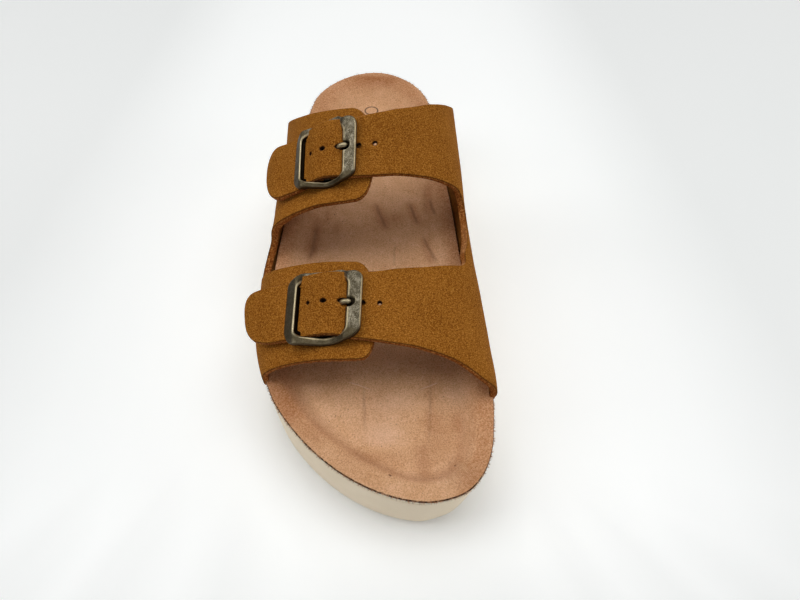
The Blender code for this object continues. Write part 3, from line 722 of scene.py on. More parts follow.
class Finish:
    """One procedural material, with short calls for the nodes that it is made of."""

    def __init__(self, name, **values):
        self.material = bpy.data.materials.new(name)
        self.material.use_nodes = True
        self.tree = self.material.node_tree
        self.shader = self.tree.nodes["Principled BSDF"]
        self.place = self.add("ShaderNodeTexCoord").outputs["Object"]
        for socket, value in values.items():
            self.shader.inputs[socket.replace("_", " ")].default_value = value

    def add(self, kind, sockets=None, **values):
        node = self.tree.nodes.new(kind)
        for key, value in values.items():
            setattr(node, key, value)
        for key, source in (sockets or {}).items():
            self.feed(source, node.inputs[key])
        return node

    def feed(self, source, socket):
        if isinstance(source, bpy.types.NodeSocket):
            self.tree.links.new(source, socket)
        else:
            socket.default_value = source

    def into(self, socket, source):
        self.feed(source, self.shader.inputs[socket])

    def mark(self, name):
        return self.add("ShaderNodeAttribute", attribute_name=name).outputs["Fac"]

    def noise(self, size, detail=3.0, rough=0.6):
        """Cloudy noise from 0 to 1 whose spots are about size millimetres wide."""
        sockets = {"Vector": self.place, "Scale": 1 / (size * MM), "Detail": detail, "Roughness": rough}
        return self.add("ShaderNodeTexNoise", sockets).outputs["Fac"]

    def spots(self, size):
        """Distance to the nearest of many scattered points, size millimetres apart."""
        sockets = {"Vector": self.place, "Scale": 1 / (size * MM)}
        return self.add("ShaderNodeTexVoronoi", sockets).outputs["Distance"]

    def threads(self, pitch, turn):
        """Even stripes from 0 to 1, a pitch in millimetres apart, turned by some degrees."""
        turned = {"Vector": self.place, "Rotation": (0.0, 0.0, math.radians(turn))}
        place = self.add("ShaderNodeMapping", turned).outputs["Vector"]
        sockets = {"Vector": place, "Scale": math.pi / 10 / (pitch * MM)}
        return self.add("ShaderNodeTexWave", sockets, wave_profile="SIN").outputs["Fac"]

    def maths(self, operation, first, second=0.0, third=0.0):
        sockets = {0: first, 1: second, 2: third}
        return self.add("ShaderNodeMath", sockets, operation=operation).outputs["Value"]

    def times(self, first, second):
        return self.maths("MULTIPLY", first, second)

    def ramp(self, factor, *stops):
        """Colours or values by position along the factor."""
        node = self.add("ShaderNodeValToRGB", {"Fac": factor})
        scale = node.color_ramp
        while len(scale.elements) < len(stops):
            scale.elements.new(1.0)
        for element, (position, value) in zip(scale.elements, stops):
            element.position = position
            element.color = value if isinstance(value, tuple) else (value, value, value, 1.0)
        return node.outputs["Color"]

    def mix(self, factor, first, second, blend="MIX"):
        sockets = {0: factor, 6: first, 7: second}
        return self.add("ShaderNodeMix", sockets, data_type="RGBA", blend_type=blend).outputs[2]

    def soft(self, value, low, high):
        """Smooth step from 0 at low to 1 at high."""
        sockets = {
            "Value": value,
            "From Min": min(low, high),
            "From Max": max(low, high),
            "To Min": float(low > high),
            "To Max": float(low < high),
        }
        return self.add("ShaderNodeMapRange", sockets, interpolation_type="SMOOTHSTEP").outputs["Result"]

    def vector(self, operation, *values):
        node = self.add("ShaderNodeVectorMath", dict(enumerate(values)), operation=operation)
        return node.outputs["Value" if operation in ("DOT_PRODUCT", "LENGTH") else "Vector"]

    def wavering(self, size, reach):
        """Places shifted about by up to reach millimetres, in waves of about size millimetres."""
        node = self.add("ShaderNodeTexNoise", {"Vector": self.place, "Scale": 1 / (size * MM)})
        centred = self.vector("SUBTRACT", node.outputs["Color"], (0.5, 0.5, 0.5))
        return self.vector("MULTIPLY_ADD", centred, (2 * reach * MM,) * 3, self.place)

    def line(self, place, start, end, half_width):
        """Mask of a soft line between two (x, along) places of the shoe, faded at both ends."""
        start = placed((*start, 0.0))[:2]
        run = placed((*end, 0.0))[:2] - start
        length = float(np.linalg.norm(run))
        ahead = run / length
        aside = np.array([-ahead[1], ahead[0]])
        reach = self.vector("DOT_PRODUCT", place, (*ahead.tolist(), 0.0))
        reach = self.maths("SUBTRACT", reach, float(start @ ahead))
        off = self.vector("DOT_PRODUCT", place, (*aside.tolist(), 0.0))
        off = self.maths("ABSOLUTE", self.maths("SUBTRACT", off, float(start @ aside)))
        fade = LINE_FADE * length
        ends = self.times(self.soft(reach, 0.0, fade), self.soft(reach, length, length - fade))
        return self.times(ends, self.soft(off, half_width * MM, 0.0))

    def bump(self, height, depth, strength=1.0, under=None):
        """Surface relief of depth millimetres where height runs from 0 to 1."""
        sockets = {"Height": height, "Distance": depth * MM, "Strength": strength}
        if under is not None:
            sockets["Normal"] = under
        return self.add("ShaderNodeBump", sockets).outputs["Normal"]


def strap_suede():
    """Ochre nubuck with a speckled nap and orange raw edge, with painted shade on the cut where it faces
    the toe, in the holes and under the buckle frames, and a painted highlight on the cut where it faces
    the heel.
    """
    look = Finish("strap_suede", Sheen_Weight=0.06, Sheen_Roughness=0.5, **MATTE)
    look.shader.inputs["Sheen Tint"].default_value = tone(230, 160, 70)
    speckle = look.noise(0.55, 2.0, 0.6)
    fine = look.noise(0.28, 2.0, 0.6)
    brushed = look.noise(24.0, 3.0, 0.5)
    nap = look.maths("MULTIPLY_ADD", fine, 0.4, look.times(speckle, 0.6))
    ground = look.ramp(nap, (0.39, tone(94, 49, 6)), (0.50, tone(152, 92, 27)), (0.61, tone(212, 146, 62)))
    brush = look.ramp(brushed, (0.36, tone(130, 77, 18)), (0.64, tone(158, 100, 34)))
    ground = look.mix(0.35, ground, brush)
    flesh = look.ramp(look.noise(1.4, 4.0, 0.7), (0.34, tone(104, 64, 22)), (0.66, tone(158, 108, 50)))
    ground = look.mix(look.mark("flesh"), ground, flesh)
    fibre = look.noise(0.9, 4.0, 0.8)
    raw = look.ramp(fibre, (0.36, tone(84, 40, 10)), (0.50, tone(142, 78, 28)), (0.66, tone(206, 144, 82)))
    cut = look.mark("cut")
    rearward = look.mark("rearward")
    toeward = look.maths("SUBTRACT", 1.0, rearward)
    # Painted shade: a dark line along the cut where it faces the toe.
    toe_edge_shade = look.times(look.ramp(cut, (0.40, 0.0), (0.66, 0.9), (0.80, 0.3)), toeward)
    ground = look.mix(toe_edge_shade, ground, tone(62, 28, 8))
    ground = look.mix(look.ramp(cut, (0.72, 0.0), (0.82, 1.0)), ground, raw)
    # Painted highlight: a pale line along the cut where it faces the heel.
    rear_edge_highlight = look.times(look.ramp(cut, (0.50, 0.0), (0.74, 0.5)), rearward)
    ground = look.mix(rear_edge_highlight, ground, tone(214, 158, 106))
    # Painted shade in and round the holes and on the strap's cut under the buckle frames.
    ground = look.mix(look.mark("hole"), ground, tone(36, 18, 8))
    look.into("Base Color", ground)
    relief = look.bump(speckle, 0.3, 0.5)
    look.into("Normal", look.bump(fine, 0.2, 0.5, relief))
    return look.material


def bed_lines(look):
    """Masks of the lining's fine creases, drawn dark as painted shade, and its specks, and of its light
    lines.
    """
    dark = 0.0
    light = 0.0
    place = look.wavering(7.0, 0.9)
    for start_along, start_x, end_along, end_x, half_width, strength in BED_LINES.rows:
        mask = look.line(place, (start_x, start_along), (end_x, end_along), half_width)
        if strength > 0:
            dark = look.maths("MULTIPLY_ADD", mask, float(strength), dark)
        else:
            light = look.maths("MULTIPLY_ADD", mask, -float(strength), light)
    return dark, light


def bed_stamp(look):
    """Plain ring printed on the heel."""
    middle = placed((STAMP["x"], STAMP["along"], 0.0))
    off = look.vector("SUBTRACT", look.place, (*middle[:2].tolist(), 0.0))
    across = (1 / (STAMP["half_x"] * MM), 1 / (STAMP["half_along"] * MM), 0.0)
    reach = look.vector("LENGTH", look.vector("MULTIPLY", off, across))
    return look.soft(look.maths("ABSOLUTE", look.maths("SUBTRACT", reach, 1.0)), STAMP["line"], 0.0)


def bed_suede():
    """Pinkish tan lining suede, mottled, creased and stained, over foam that shows at its edge."""
    look = Finish("bed_suede_nap", Sheen_Weight=0.05, Sheen_Roughness=0.6, **MATTE)
    cloud = look.noise(22.0, 4.0, 0.6)
    mottle = look.noise(6.0, 4.0, 0.65)
    nap = look.noise(0.55, 3.0, 0.7)
    clouds = ((0.36, tone(208, 152, 106)), (0.52, tone(228, 176, 132)), (0.68, tone(246, 198, 160)))
    ground = look.ramp(cloud, *clouds)
    stain = look.ramp(mottle, (0.36, tone(204, 148, 100)), (0.64, tone(240, 190, 148)))
    ground = look.mix(0.45, ground, stain)
    fibres = ((0.34, tone(158, 106, 64)), (0.5, tone(230, 178, 134)), (0.66, tone(254, 218, 182)))
    ground = look.mix(0.5, ground, look.ramp(nap, *fibres))
    grain = look.ramp(look.noise(0.8, 2.0, 0.6), (0.40, 0.9), (0.60, 0.3))
    rim = look.times(look.mark("rim"), grain)
    ground = look.mix(rim, ground, tone(222, 198, 178), "MULTIPLY")
    crease_shade_and_specks, light_lines = bed_lines(look)
    # Painted shade in the folds and along the basin crease.
    sunk = look.maths("MULTIPLY_ADD", look.mark("fold"), 0.35, look.times(look.mark("crease"), 0.25))
    ground = look.mix(sunk, ground, tone(188, 150, 126), "MULTIPLY")
    # Soft spots from the table, drawn darker, then paler.
    darker_spots = look.times(look.mark("darker_spots"), look.ramp(mottle, (0.3, 0.5), (0.6, 1.0)))
    ground = look.mix(darker_spots, ground, tone(194, 160, 124), "MULTIPLY")
    ground = look.mix(look.mark("paler_spots"), ground, tone(250, 208, 180))
    speck = look.ramp(look.spots(2.0), (0.07, 0.75), (0.16, 0.0))
    speck = look.times(speck, look.ramp(look.noise(9.0), (0.5, 0.0), (0.62, 1.0)))
    ground = look.mix(speck, ground, tone(116, 70, 42))
    # Painted shade along the fine creases, and the dark specks.
    ground = look.mix(crease_shade_and_specks, ground, tone(120, 78, 52))
    ground = look.mix(light_lines, ground, tone(250, 214, 182))
    for turn in (WEAVE["turn"], WEAVE["turn"] + 90.0):
        thread = look.ramp(look.threads(WEAVE["pitch"], turn), (0.3, 0.0), (0.7, 0.35))
        woven = look.times(look.mark("weave"), thread)
        ground = look.mix(woven, ground, tone(160, 110, 72))
    ground = look.mix(look.times(bed_stamp(look), 0.9), ground, tone(62, 42, 36))
    fringe = ((0.44, tone(36, 20, 12)), (0.54, tone(92, 56, 36)), (0.62, tone(206, 164, 128)))
    edge = look.ramp(look.noise(1.5, 3.0, 0.7), *fringe)
    ground = look.mix(look.ramp(look.mark("cut"), (0.5, 0.0), (0.8, 1.0)), ground, edge)
    ground = look.mix(look.mark("foam"), ground, tone(232, 218, 194))
    look.into("Base Color", ground)
    relief = look.bump(nap, 0.25, 0.4)
    relief = look.bump(look.maths("SUBTRACT", light_lines, crease_shade_and_specks), 0.4, 0.6, relief)
    look.into("Normal", look.bump(mottle, 0.3, 0.25, relief))
    return look.material


def cream_foam():
    """Smooth matte moulded foam with faint clouding and pores."""
    look = Finish("cream_foam_skin", Specular_IOR_Level=0.25)
    cloud = look.noise(18.0, 4.0, 0.6)
    ground = look.ramp(cloud, (0.35, tone(240, 222, 194)), (0.65, tone(246, 229, 203)))
    pores = look.ramp(look.spots(1.6), (0.08, 1.0), (0.2, 0.0))
    ground = look.mix(look.times(pores, 0.1), ground, tone(190, 170, 138))
    look.into("Base Color", ground)
    look.into("Roughness", look.ramp(cloud, (0.3, 0.5), (0.7, 0.62)))
    look.into("Normal", look.bump(look.noise(0.7, 2.0), 0.06, 0.4))
    return look.material


def aged_brass():
    """Antique brass: grey-brown patina, lines of wear and painted highlight along its edges, painted shade
    on its outer end and toe side, dark patina and painted shade in its hollows.
    """
    look = Finish("aged_brass_patina", Metallic=1.0)
    cloud = look.noise(2.6, 4.0, 0.65)
    grain = look.noise(0.45, 3.0, 0.7)
    mottle = look.maths("MULTIPLY_ADD", grain, 0.6, look.times(cloud, 0.4))
    patina = ((0.40, tone(68, 61, 48)), (0.5, tone(104, 96, 78)), (0.60, tone(150, 142, 124)))
    ground = look.ramp(mottle, *patina)
    # Painted shade on the frame's outer end, its toe side and the centre bar.
    ground = look.mix(look.times(look.mark("shaded_sides"), 0.75), ground, tone(78, 68, 48))
    # Worn edges brightened further as painted highlight, and the prong's top painted as highlight.
    wear_and_highlight = look.times(look.mark("wear_and_highlight"), look.ramp(grain, (0.3, 0.6), (0.6, 1.0)))
    ground = look.mix(wear_and_highlight, ground, tone(222, 206, 166))
    # Dark patina in the prong's notch, and painted shade on the frame's lowest row, inner wall, shadow lip
    # and the centre bar under the strap.
    ground = look.mix(look.mark("patina_and_shade"), ground, tone(30, 24, 16))
    look.into("Base Color", ground)
    look.into("Roughness", look.ramp(cloud, (0.3, 0.55), (0.7, 0.4)))
    look.into("Normal", look.bump(grain, 0.1, 0.3))
    return look.material


# Sole and footbed

def fold_depth(points):
    """Depth of the troughs at each point: soft grooves along straight listed lines."""
    depth = np.zeros(len(points))
    for start_along, start_x, end_along, end_x, width, sunk in BED_FOLDS.rows:
        start = np.array([start_x, start_along])
        run = np.array([end_x, end_along]) - start
        length = np.linalg.norm(run)
        off = points[:, :2] - start
        t = off @ run / length**2
        aside = (off[:, 0] * run[1] - off[:, 1] * run[0]) / length
        fade = between(t, 0, 1, LINE_FADE)
        depth += sunk * fade * np.exp(-(aside / width)**2)
    return depth


def basin_crease(points, inset):
    """Strength of the crease where the toe rim drops into the basin."""
    along = points[:, 1]
    share = side_share(points)
    place = BASIN_INSET.at("lateral", along) * (1 - share) + BASIN_INSET.at("medial", along) * share
    begin = BASIN["lateral_from"] * (1 - share) + BASIN["medial_from"] * share
    strength = smooth_step((along - begin) / BASIN["ramp"])
    return strength * np.exp(-((inset - place) / BASIN["width"])**2)


def bed_top(points, inset):
    """Top of the footbed with its basin crease and folds."""
    sunk = BASIN["depth"] * basin_crease(points, inset)
    return bed_height(points, inset) - sunk - fold_depth(points)


def soft_spot(points, along, x, half_along, half_x):
    return np.exp(-((points[:, 1] - along) / half_along)**2 - ((points[:, 0] - x) / half_x)**2)


def ring_insets(loop, fixed, shares):
    """Inset of every ring at every outline point: fixed distances, then shares to the spine."""
    reach = np.linalg.norm(spine(loop) - loop, axis=1)
    rings = [np.full(len(loop), float(distance)) for distance in fixed]
    rings += [fixed[-1] + (reach - fixed[-1]) * share for share in shares]
    return rings


def sole_draft(loop):
    """Share of the usual draft at each outline point, and how far the bed overhangs the sole there."""
    run = headings(loop)
    facing = -run[:, 1] * SOLE_LEAN["x"] + run[:, 0] * SOLE_LEAN["along"]
    inward = -run[:, 1] * SOLE_TUCK["x"] + run[:, 0] * SOLE_TUCK["along"]
    tuck = np.clip((inward - SOLE_TUCK["from"]) / (1 - SOLE_TUCK["from"]), 0, 1)
    lean = SOLE_LEAN["share"] * np.clip(facing, SOLE_LEAN["least"], 1)
    draft = 1 - lean + SOLE_TUCK["share"] * tuck
    return draft, SOLE_TUCK["overhang"] * tuck


def make_sole(material):
    loop = plan_loop(np.linspace(0, 1, SIDE_STATIONS + 1))
    foot = floor_height(loop[:, 1])
    draft, overhang = sole_draft(loop)
    rings = []
    for inset in reversed(ring_insets(loop, (SOLE_DRAFT + SOLE_FOOT_RADIUS,), SOLE_FLOOR_SHARES)):
        inset = np.where(inset <= SOLE_DRAFT + SOLE_FOOT_RADIUS, inset * draft + overhang, inset)
        rings.append(ring(loop, inset, floor_height(drawn_in(loop, inset)[:, 1])))
    for rise in SOLE_RISES[1:]:
        rings.append(ring(loop, SOLE_PROFILE.at("inset", rise) * draft + overhang, foot + rise))
    seat = leather_zone(loop) * (LEATHER + 2 * TUCK_GAP - BED_GAP)
    top = bed_height(loop, np.zeros(len(loop))) - BED_THICKNESS - BED_GAP - seat
    low = foot + SOLE_RISES[-1]
    for share in SOLE_WALL_SHARES:
        inset = SOLE_PROFILE.at("inset", SOLE_RISES[-1]) * (1 - share) + overhang
        rings.append(ring(loop, inset, low + (top - SOLE_EDGE_ROUND - low) * share))
    for turn in SOLE_EDGE_TURNS:
        inset = SOLE_EDGE_ROUND * (1 - math.cos(math.radians(turn))) + overhang
        rings.append(ring(loop, inset, top - SOLE_EDGE_ROUND * (1 - math.sin(math.radians(turn)))))
    for inset in ring_insets(loop, SOLE_TOP_INSETS, UNDER_SHARES):
        sunk = seat * (inset <= LEDGE)
        at = drawn_in(loop, inset)
        rings.append(ring(loop, inset, bed_height(at, inset) - BED_THICKNESS - BED_GAP - sunk))
    points, faces = solid_from_rings(rings)
    return piece("sole_platform", points, faces, material, ["platform_sole"])


def bed_seat(loop):
    """How far the bed's edge is drawn in to make room for the straps, hidden behind them."""
    lateral = loop[:, 0] < spine(loop)[:, 0]
    front = np.where(lateral, leather_front(-1), leather_front(1))
    ahead = smooth_step((front - loop[:, 1] - SEAT_CLEAR) / SEAT_RAMP)
    behind = smooth_step((loop[:, 1] - leather_rear() - SEAT_CLEAR) / SEAT_RAMP)
    return (LEATHER_SEAT + TUCK_GAP) * ahead * behind


def bed_fray(loop, shown, top):
    """Loose fibres along the lining's open edge: points and faces of thin spikes, and their tone."""
    rough = np.random.default_rng(FRAY["seed"])
    count = FRAY["count"]
    start = rough.choice(shown, count)
    ahead = (start + 1) % len(loop)
    share = rough.uniform(0, 1, count)[:, None]
    run = unit(loop[ahead] - loop[start])
    out = np.column_stack([-run[:, 1], run[:, 0]])
    at = loop[start] * (1 - share) + loop[ahead] * share
    height = top[start] - LINING * rough.uniform(*FRAY_DEPTH, count)
    length = rough.uniform(FRAY["shortest"], FRAY["longest"], count)[:, None]
    sway = rough.normal(0, FRAY["sway"], (count, 2))
    half = FRAY["half_width"]
    corners = [
        np.column_stack([at - run * half - out * half, height - half]),
        np.column_stack([at + run * half - out * half, height - half]),
        np.column_stack([at - out * half, height + half]),
        np.column_stack([at + (out + run * sway[:, :1]) * length, height + sway[:, 1] * length[:, 0]]),
    ]
    points = np.stack(corners, axis=1).reshape(-1, 3)
    faces = [tuple(len(corners) * i + k for k in face) for i in range(count) for face in SPIKE]
    return points, faces, np.repeat(rough.choice(FRAY_TONES, count), len(corners))


def bed_marks(points, inset):
    """Marks of the lining by place and distance from the bed's edge."""
    pale = smooth_step((points[:, 1] - RIM_PALE["from"]) / RIM_PALE["over"])
    pale *= 1 - smooth_step((points[:, 0] - RIM_PALE["medial"]) / RIM_PALE["medial_over"])
    band = 1 - smooth_step((inset - RIM_BAND["from"]) / RIM_BAND["fade"])
    stain = sum(strength * soft_spot(points, *spot) for *spot, strength in BED_SPOTS.rows)
    return {
        "rim": band * (1 - RIM_BAND["pale"] * pale),
        "crease": basin_crease(points, inset),
        "fold": np.clip(fold_depth(points) / FOLD_FULL, 0, 1),
        "darker_spots": np.clip(stain, 0, 1),
        "paler_spots": np.clip(-stain, 0, 1),
        "weave": soft_spot(points, *WEAVE_SPOT),
    }


def make_footbed(material):
    loop = plan_loop(np.linspace(0, 1, SIDE_STATIONS + 1))
    seat = bed_seat(loop)
    top = bed_height(drawn_in(loop, seat), seat)
    # Rings from the middle of the underside to the middle of the top: inset, height, cut and foam marks.
    rows = []
    for inset in reversed(ring_insets(loop, BED_UNDER, UNDER_SHARES)):
        inset = np.maximum(inset, seat)
        rows.append((inset, bed_height(drawn_in(loop, inset), inset) - BED_THICKNESS, 0.0, 1.0))
    rows.append((seat, top - LINING - LINING_STEP, 0.0, 1.0))
    rows.append((seat, top - LINING, 1.0, 0.0))
    for distance in BED_EDGE_RINGS:
        inset = seat + distance
        drop = BED_EDGE_ROUND - math.sqrt(BED_EDGE_ROUND**2 - (BED_EDGE_ROUND - distance)**2)
        height = bed_height(drawn_in(loop, inset), inset) - drop
        rows.append((inset, height, 1.0 - BED_EDGE_FADE * distance, 0.0))
    for inset in ring_insets(loop, BED_RINGS, BED_SHARES):
        inset = np.maximum(inset, seat + BED_EDGE_ROUND)
        rows.append((inset, bed_top(drawn_in(loop, inset), inset), 0.0, 0.0))
    insets, heights, cut, foam = zip(*rows)
    points, faces = solid_from_rings([ring(loop, *row) for row in zip(insets, heights)])
    marks = bed_marks(points, np.concatenate(insets))
    marks["cut"] = np.repeat(cut, len(loop))
    marks["foam"] = np.repeat(foam, len(loop))
    fibres, fibre_faces, dark = bed_fray(loop, np.flatnonzero(seat < SEAT_OPEN), top)
    faces += [tuple(len(points) + corner for corner in face) for face in fibre_faces]
    marks = {name: np.concatenate([values, np.zeros(len(fibres))]) for name, values in marks.items()}
    marks["cut"][len(points):] = dark
    marks["rim"][len(points):] = 1.0
    points = np.vstack([points, fibres])
    return piece("footbed_lining", points, faces, material, ["footbed"], marks)


# Upper

FLAT_GIRTH = 88.0
CUT_PITCH = 0.9
CUT_RINGS = (0.35, 0.9)
CUT_SHARES = (0.33, 0.67)
CUT_MARK = 0.75
GRID_CLEAR = 0.5
RING_KEPT = 0.9
TINY = 1e-12
MERGED = 1e-6
# Points along the margin, round each soft corner and along the strap.
WALL_POINTS = 40
TURN_POINTS = 60
RUN_POINTS = 200
NAP_PITCH = 1.5
CUT_ROUND = 0.5
FLESH_ROUND = 0.3
CUT_BULGE = 0.18
CUT_ROUGHNESS = 0.10
CUT_SWELL = {"depth": 0.7, "reach": 1.6}
FRAYED = {"at_cut": 1.15, "reach": 3.0}
# Soft bulges and hollows of the walls, in millimetres across.
WALL_SPOTS = Table("along across half_along half_across out", (
    (157.0, -0.93, 13.0, 0.045, 1.4),
    (138.0, -0.80, 10.0, 0.09, -0.9),
    (174.0, -0.79, 9.0, 0.09, -1.0),
    (148.0, 0.85, 22.0, 0.10, 0.5),
))
OPENING_ZONE = {"from": 130.0, "to": 172.0, "fade": 8.0, "across": 0.6}
HOLE_POINTS = 20
HOLE_OFFSET = 0.8
HOLE_SHADE = 0.3
FRAME_SHADE = {"from": -13.0, "to": 10.0, "ramp": 3.0, "depth": 0.9}
# Holes along the strap's middle, from its end: the third is the prong's, drawn out to a slot.
HOLES = Table("reach half_reach half_along", (
    (-6.3, 0.6, 0.75),
    (-0.5, 0.85, 0.85),
    (6.4, 2.0, 1.3),
    (14.4, 1.0, 1.0),
    (21.2, 0.85, 0.85),
))


def edge_places(opening, tip):
    """Values of across from the tucked margin to the tip, closest at the opening and the tip."""
    side = np.sign(opening["bottom"])
    way = np.sign(tip["end"] - opening["bottom"])
    turn = np.linspace(0, np.pi / 2, TURN_POINTS)
    wall = np.linspace(side * (1 + TUCK / FLAT_GIRTH), opening["bottom"], WALL_POINTS)
    corner = opening["bottom"] - side * opening["span"] * (1 - np.cos(turn)**(2 / opening["power"]))
    end = tip["end"] - way * tip["span"] * (1 - np.sin(turn)**(2 / tip["power"]))
    run = np.linspace(corner[-1], end[0], RUN_POINTS)
    return np.concatenate([wall, corner[1:], run[1:], end[1:]])


def evened(path, pitch):
    """Points at even steps along a closed path."""
    closed = np.vstack([path, path[:1]])
    length = run_length(closed)
    steps = np.linspace(0, length[-1], int(length[-1] / pitch), endpoint=False)
    return np.column_stack([np.interp(steps, length, closed[:, axis]) for axis in (0, 1)])


def blank_outline(straps, opening, tips):
    """Cut outline of one half of the upper, flat: (along, across times the flat girth)."""
    path = []
    side = np.sign(opening["bottom"])
    for strap, inner, tip in zip(straps, ("front", "rear"), tips):
        places = edge_places(opening, tip)
        edges = np.array([strap_edges(strap, place, opening, inner, tip) for place in places])
        rear = np.column_stack([edges[:, 0], places])
        front = np.column_stack([edges[:, 1], places])
        below = side * places > abs(opening["bottom"])
        if inner == "front":
            path += [rear, front[~below][::-1]]
        else:
            path += [rear[~below], front[::-1]]
    path = np.vstack(path)
    low = smooth_step((side * path[:, 1] - abs(opening["bottom"])) / opening["span"] + 1)
    tilt = opening["tilt"] * (path[:, 0] - opening["middle"])
    path[:, 1] += tilt * low * beside_opening(path * [1.0, FLAT_GIRTH])
    return evened(path * [1.0, FLAT_GIRTH], CUT_PITCH)


def strap_holes(strap, buckle):
    """Flat outlines of the holes along the middle of a strap's end."""
    girth = half_girth(buckle["along"], -1)[0]
    angle = np.linspace(0, 2 * np.pi, HOLE_POINTS, endpoint=False)
    loops = []
    for reach, half_reach, half_along in HOLES.rows:
        across = buckle["across"] + (reach + half_reach * np.cos(angle)) / girth
        middle = (strap.at("rear", across) + strap.at("front", across)) / 2
        along = middle - HOLE_OFFSET + half_along * np.sin(angle) * buckle["slope"]
        loops.append(np.column_stack([along, across * FLAT_GIRTH]))
    return loops


def within(points, loop):
    """True for points inside a closed loop."""
    inside = np.zeros(len(points), dtype=bool)
    for (ax, ay), (bx, by) in zip(loop, np.roll(loop, -1, axis=0)):
        if ay != by:
            crossing = (ay > points[:, 1]) != (by > points[:, 1])
            inside ^= crossing & (points[:, 0] < (bx - ax) * (points[:, 1] - ay) / (by - ay) + ax)
    return inside


def nearest_edge(points, loops):
    """Distance to the nearest of some closed loops, and how far the cut there faces the toe."""
    gap = np.full(len(points), np.inf)
    facing = np.zeros(len(points))
    for loop in loops:
        for a, b in zip(loop, np.roll(loop, -1, axis=0)):
            run = b - a
            t = np.clip((points - a) @ run / (run @ run), 0, 1)
            away = np.linalg.norm(points - a - t[:, None] * run, axis=1)
            facing = np.where(away < gap, run[1] / np.linalg.norm(run), facing)
            gap = np.minimum(gap, away)
    return gap, facing


def distance_to(points, loop):
    return nearest_edge(points, [loop])[0]


def drawn_ring(loop, distance):
    """The loop moved to its inner side, taken as its left."""
    run = headings(loop)
    return loop + distance * np.column_stack([-run[:, 1], run[:, 0]])


def turned_left(loop):
    """The loop in the order that has its inside on the left."""
    x, y = loop[:, 0], loop[:, 1]
    area = np.sum(x * np.roll(y, -1) - np.roll(x, -1) * y)
    return loop if area > 0 else loop[::-1]


def flat_mesh(outline, holes):
    """Triangles over a flat blank, its points, their distance to the nearest cut and its facing."""
    outline = turned_left(outline)
    loops = [outline] + [turned_left(hole)[::-1] for hole in holes]
    low = outline.min(axis=0)
    high = outline.max(axis=0)
    rows = np.arange(low[1], high[1], NAP_PITCH * math.sqrt(3) / 2)
    grid = []
    for i, y in enumerate(rows):
        x = np.arange(low[0] + (i % 2) * NAP_PITCH / 2, high[0], NAP_PITCH)
        grid.append(np.column_stack([x, np.full(len(x), y)]))
    grid = np.vstack(grid)
    grid = grid[within(grid, outline)]
    grid = grid[distance_to(grid, outline) > CUT_RINGS[-1] + GRID_CLEAR]
    for hole in holes:
        grid = grid[~within(grid, hole)]
        grid = grid[distance_to(grid, hole) > CUT_RINGS[-1]]
    rings = [drawn_ring(outline, inset) for inset in CUT_RINGS]
    rings = [loop[distance_to(loop, outline) > inset * RING_KEPT] for loop, inset in zip(rings, CUT_RINGS)]
    rings += [drawn_ring(loop, CUT_RINGS[0]) for loop in loops[1:]]
    points = np.vstack(loops + rings + [grid])
    edges = []
    base = 0
    for loop in loops:
        count = len(loop)
        edges += [(base + j, base + (j + 1) % count) for j in range(count)]
        base += count
    found = delaunay_2d_cdt([Vector(point) for point in points], edges, [], 0, MERGED)
    points = np.array([tuple(point) for point in found[0]])
    triangles = np.array([tuple(face) for face in found[2]])
    middle = points[triangles].mean(axis=1)
    kept = within(middle, outline)
    for hole in holes:
        kept &= ~within(middle, hole)
    return used_only(triangles[kept], points, *nearest_edge(points, loops))


def used_only(triangles, *values):
    """Triangles numbered anew over the points that they use, and the values at those points."""
    used = np.unique(triangles)
    renumber = np.full(used[-1] + 1, -1)
    renumber[used] = np.arange(len(used))
    return renumber[triangles], *(value[used] for value in values)


def beside_opening(flat):
    """1 at the walls beside the openings between the straps, 0 away from them."""
    zone = between(flat[:, 0], OPENING_ZONE["from"], OPENING_ZONE["to"], OPENING_ZONE["fade"])
    return zone * (np.abs(flat[:, 1]) > OPENING_ZONE["across"] * FLAT_GIRTH)


def wall_bulge(along, across):
    """How far the walls lean out, in millimetres across."""
    bulge = np.zeros(len(along))
    for middle, place, half_along, half_across, out in WALL_SPOTS.rows:
        off = ((along - middle) / half_along)**2 + ((across - place) / half_across)**2
        bulge += np.sign(place) * out * np.exp(-off)
    return bulge


def leather_base(flat, side, buckles):
    """Where the inner face of a blank lies on the shoe: over the instep, then under the bed."""
    along = flat[:, 0]
    across = flat[:, 1] / FLAT_GIRTH
    base = np.zeros((len(flat), 3))
    over = np.abs(across) <= 1.0
    lift = np.zeros(len(flat))
    for buckle, chosen in buckles:
        here = chosen(along) & over
        lift[here] = lift_at(along[here], across[here], buckle)
    base[over] = raised(along[over], across[over], lift[over])
    base[over, 0] += wall_bulge(along[over], across[over])
    base[~over] = tucked(along[~over], side, (np.abs(across[~over]) - 1) * FLAT_GIRTH)
    return base


def under_frame(flat, buckles):
    """How deep in a buckle's shade the cut of a strap lies: its toe side between the frame's ends."""
    shade = np.zeros(len(flat))
    along = flat[:, 0]
    place = flat[:, 1] / FLAT_GIRTH * half_girth(along, -1)
    for buckle, chosen in buckles:
        reach = place - buckle["across"] * half_girth(buckle["along"], -1)[0]
        ends = between(reach, FRAME_SHADE["from"], FRAME_SHADE["to"], FRAME_SHADE["ramp"])
        shade = np.maximum(shade, FRAME_SHADE["depth"] * ends * chosen(along) * (along > buckle["along"]))
    return shade


def point_normals(points, triangles):
    """Normals at the points of a sheet, averaged over its triangles and softened once."""
    a, b, c = (points[triangles[:, k]] for k in range(3))
    facing = np.cross(b - a, c - a)
    normals = np.zeros_like(points)
    for k in range(3):
        np.add.at(normals, triangles[:, k], facing)
    normals = unit(normals, TINY)
    soft = normals.copy()
    for k in range(3):
        np.add.at(soft, triangles[:, k], normals[triangles[:, (k + 1) % 3]])
    return unit(soft)


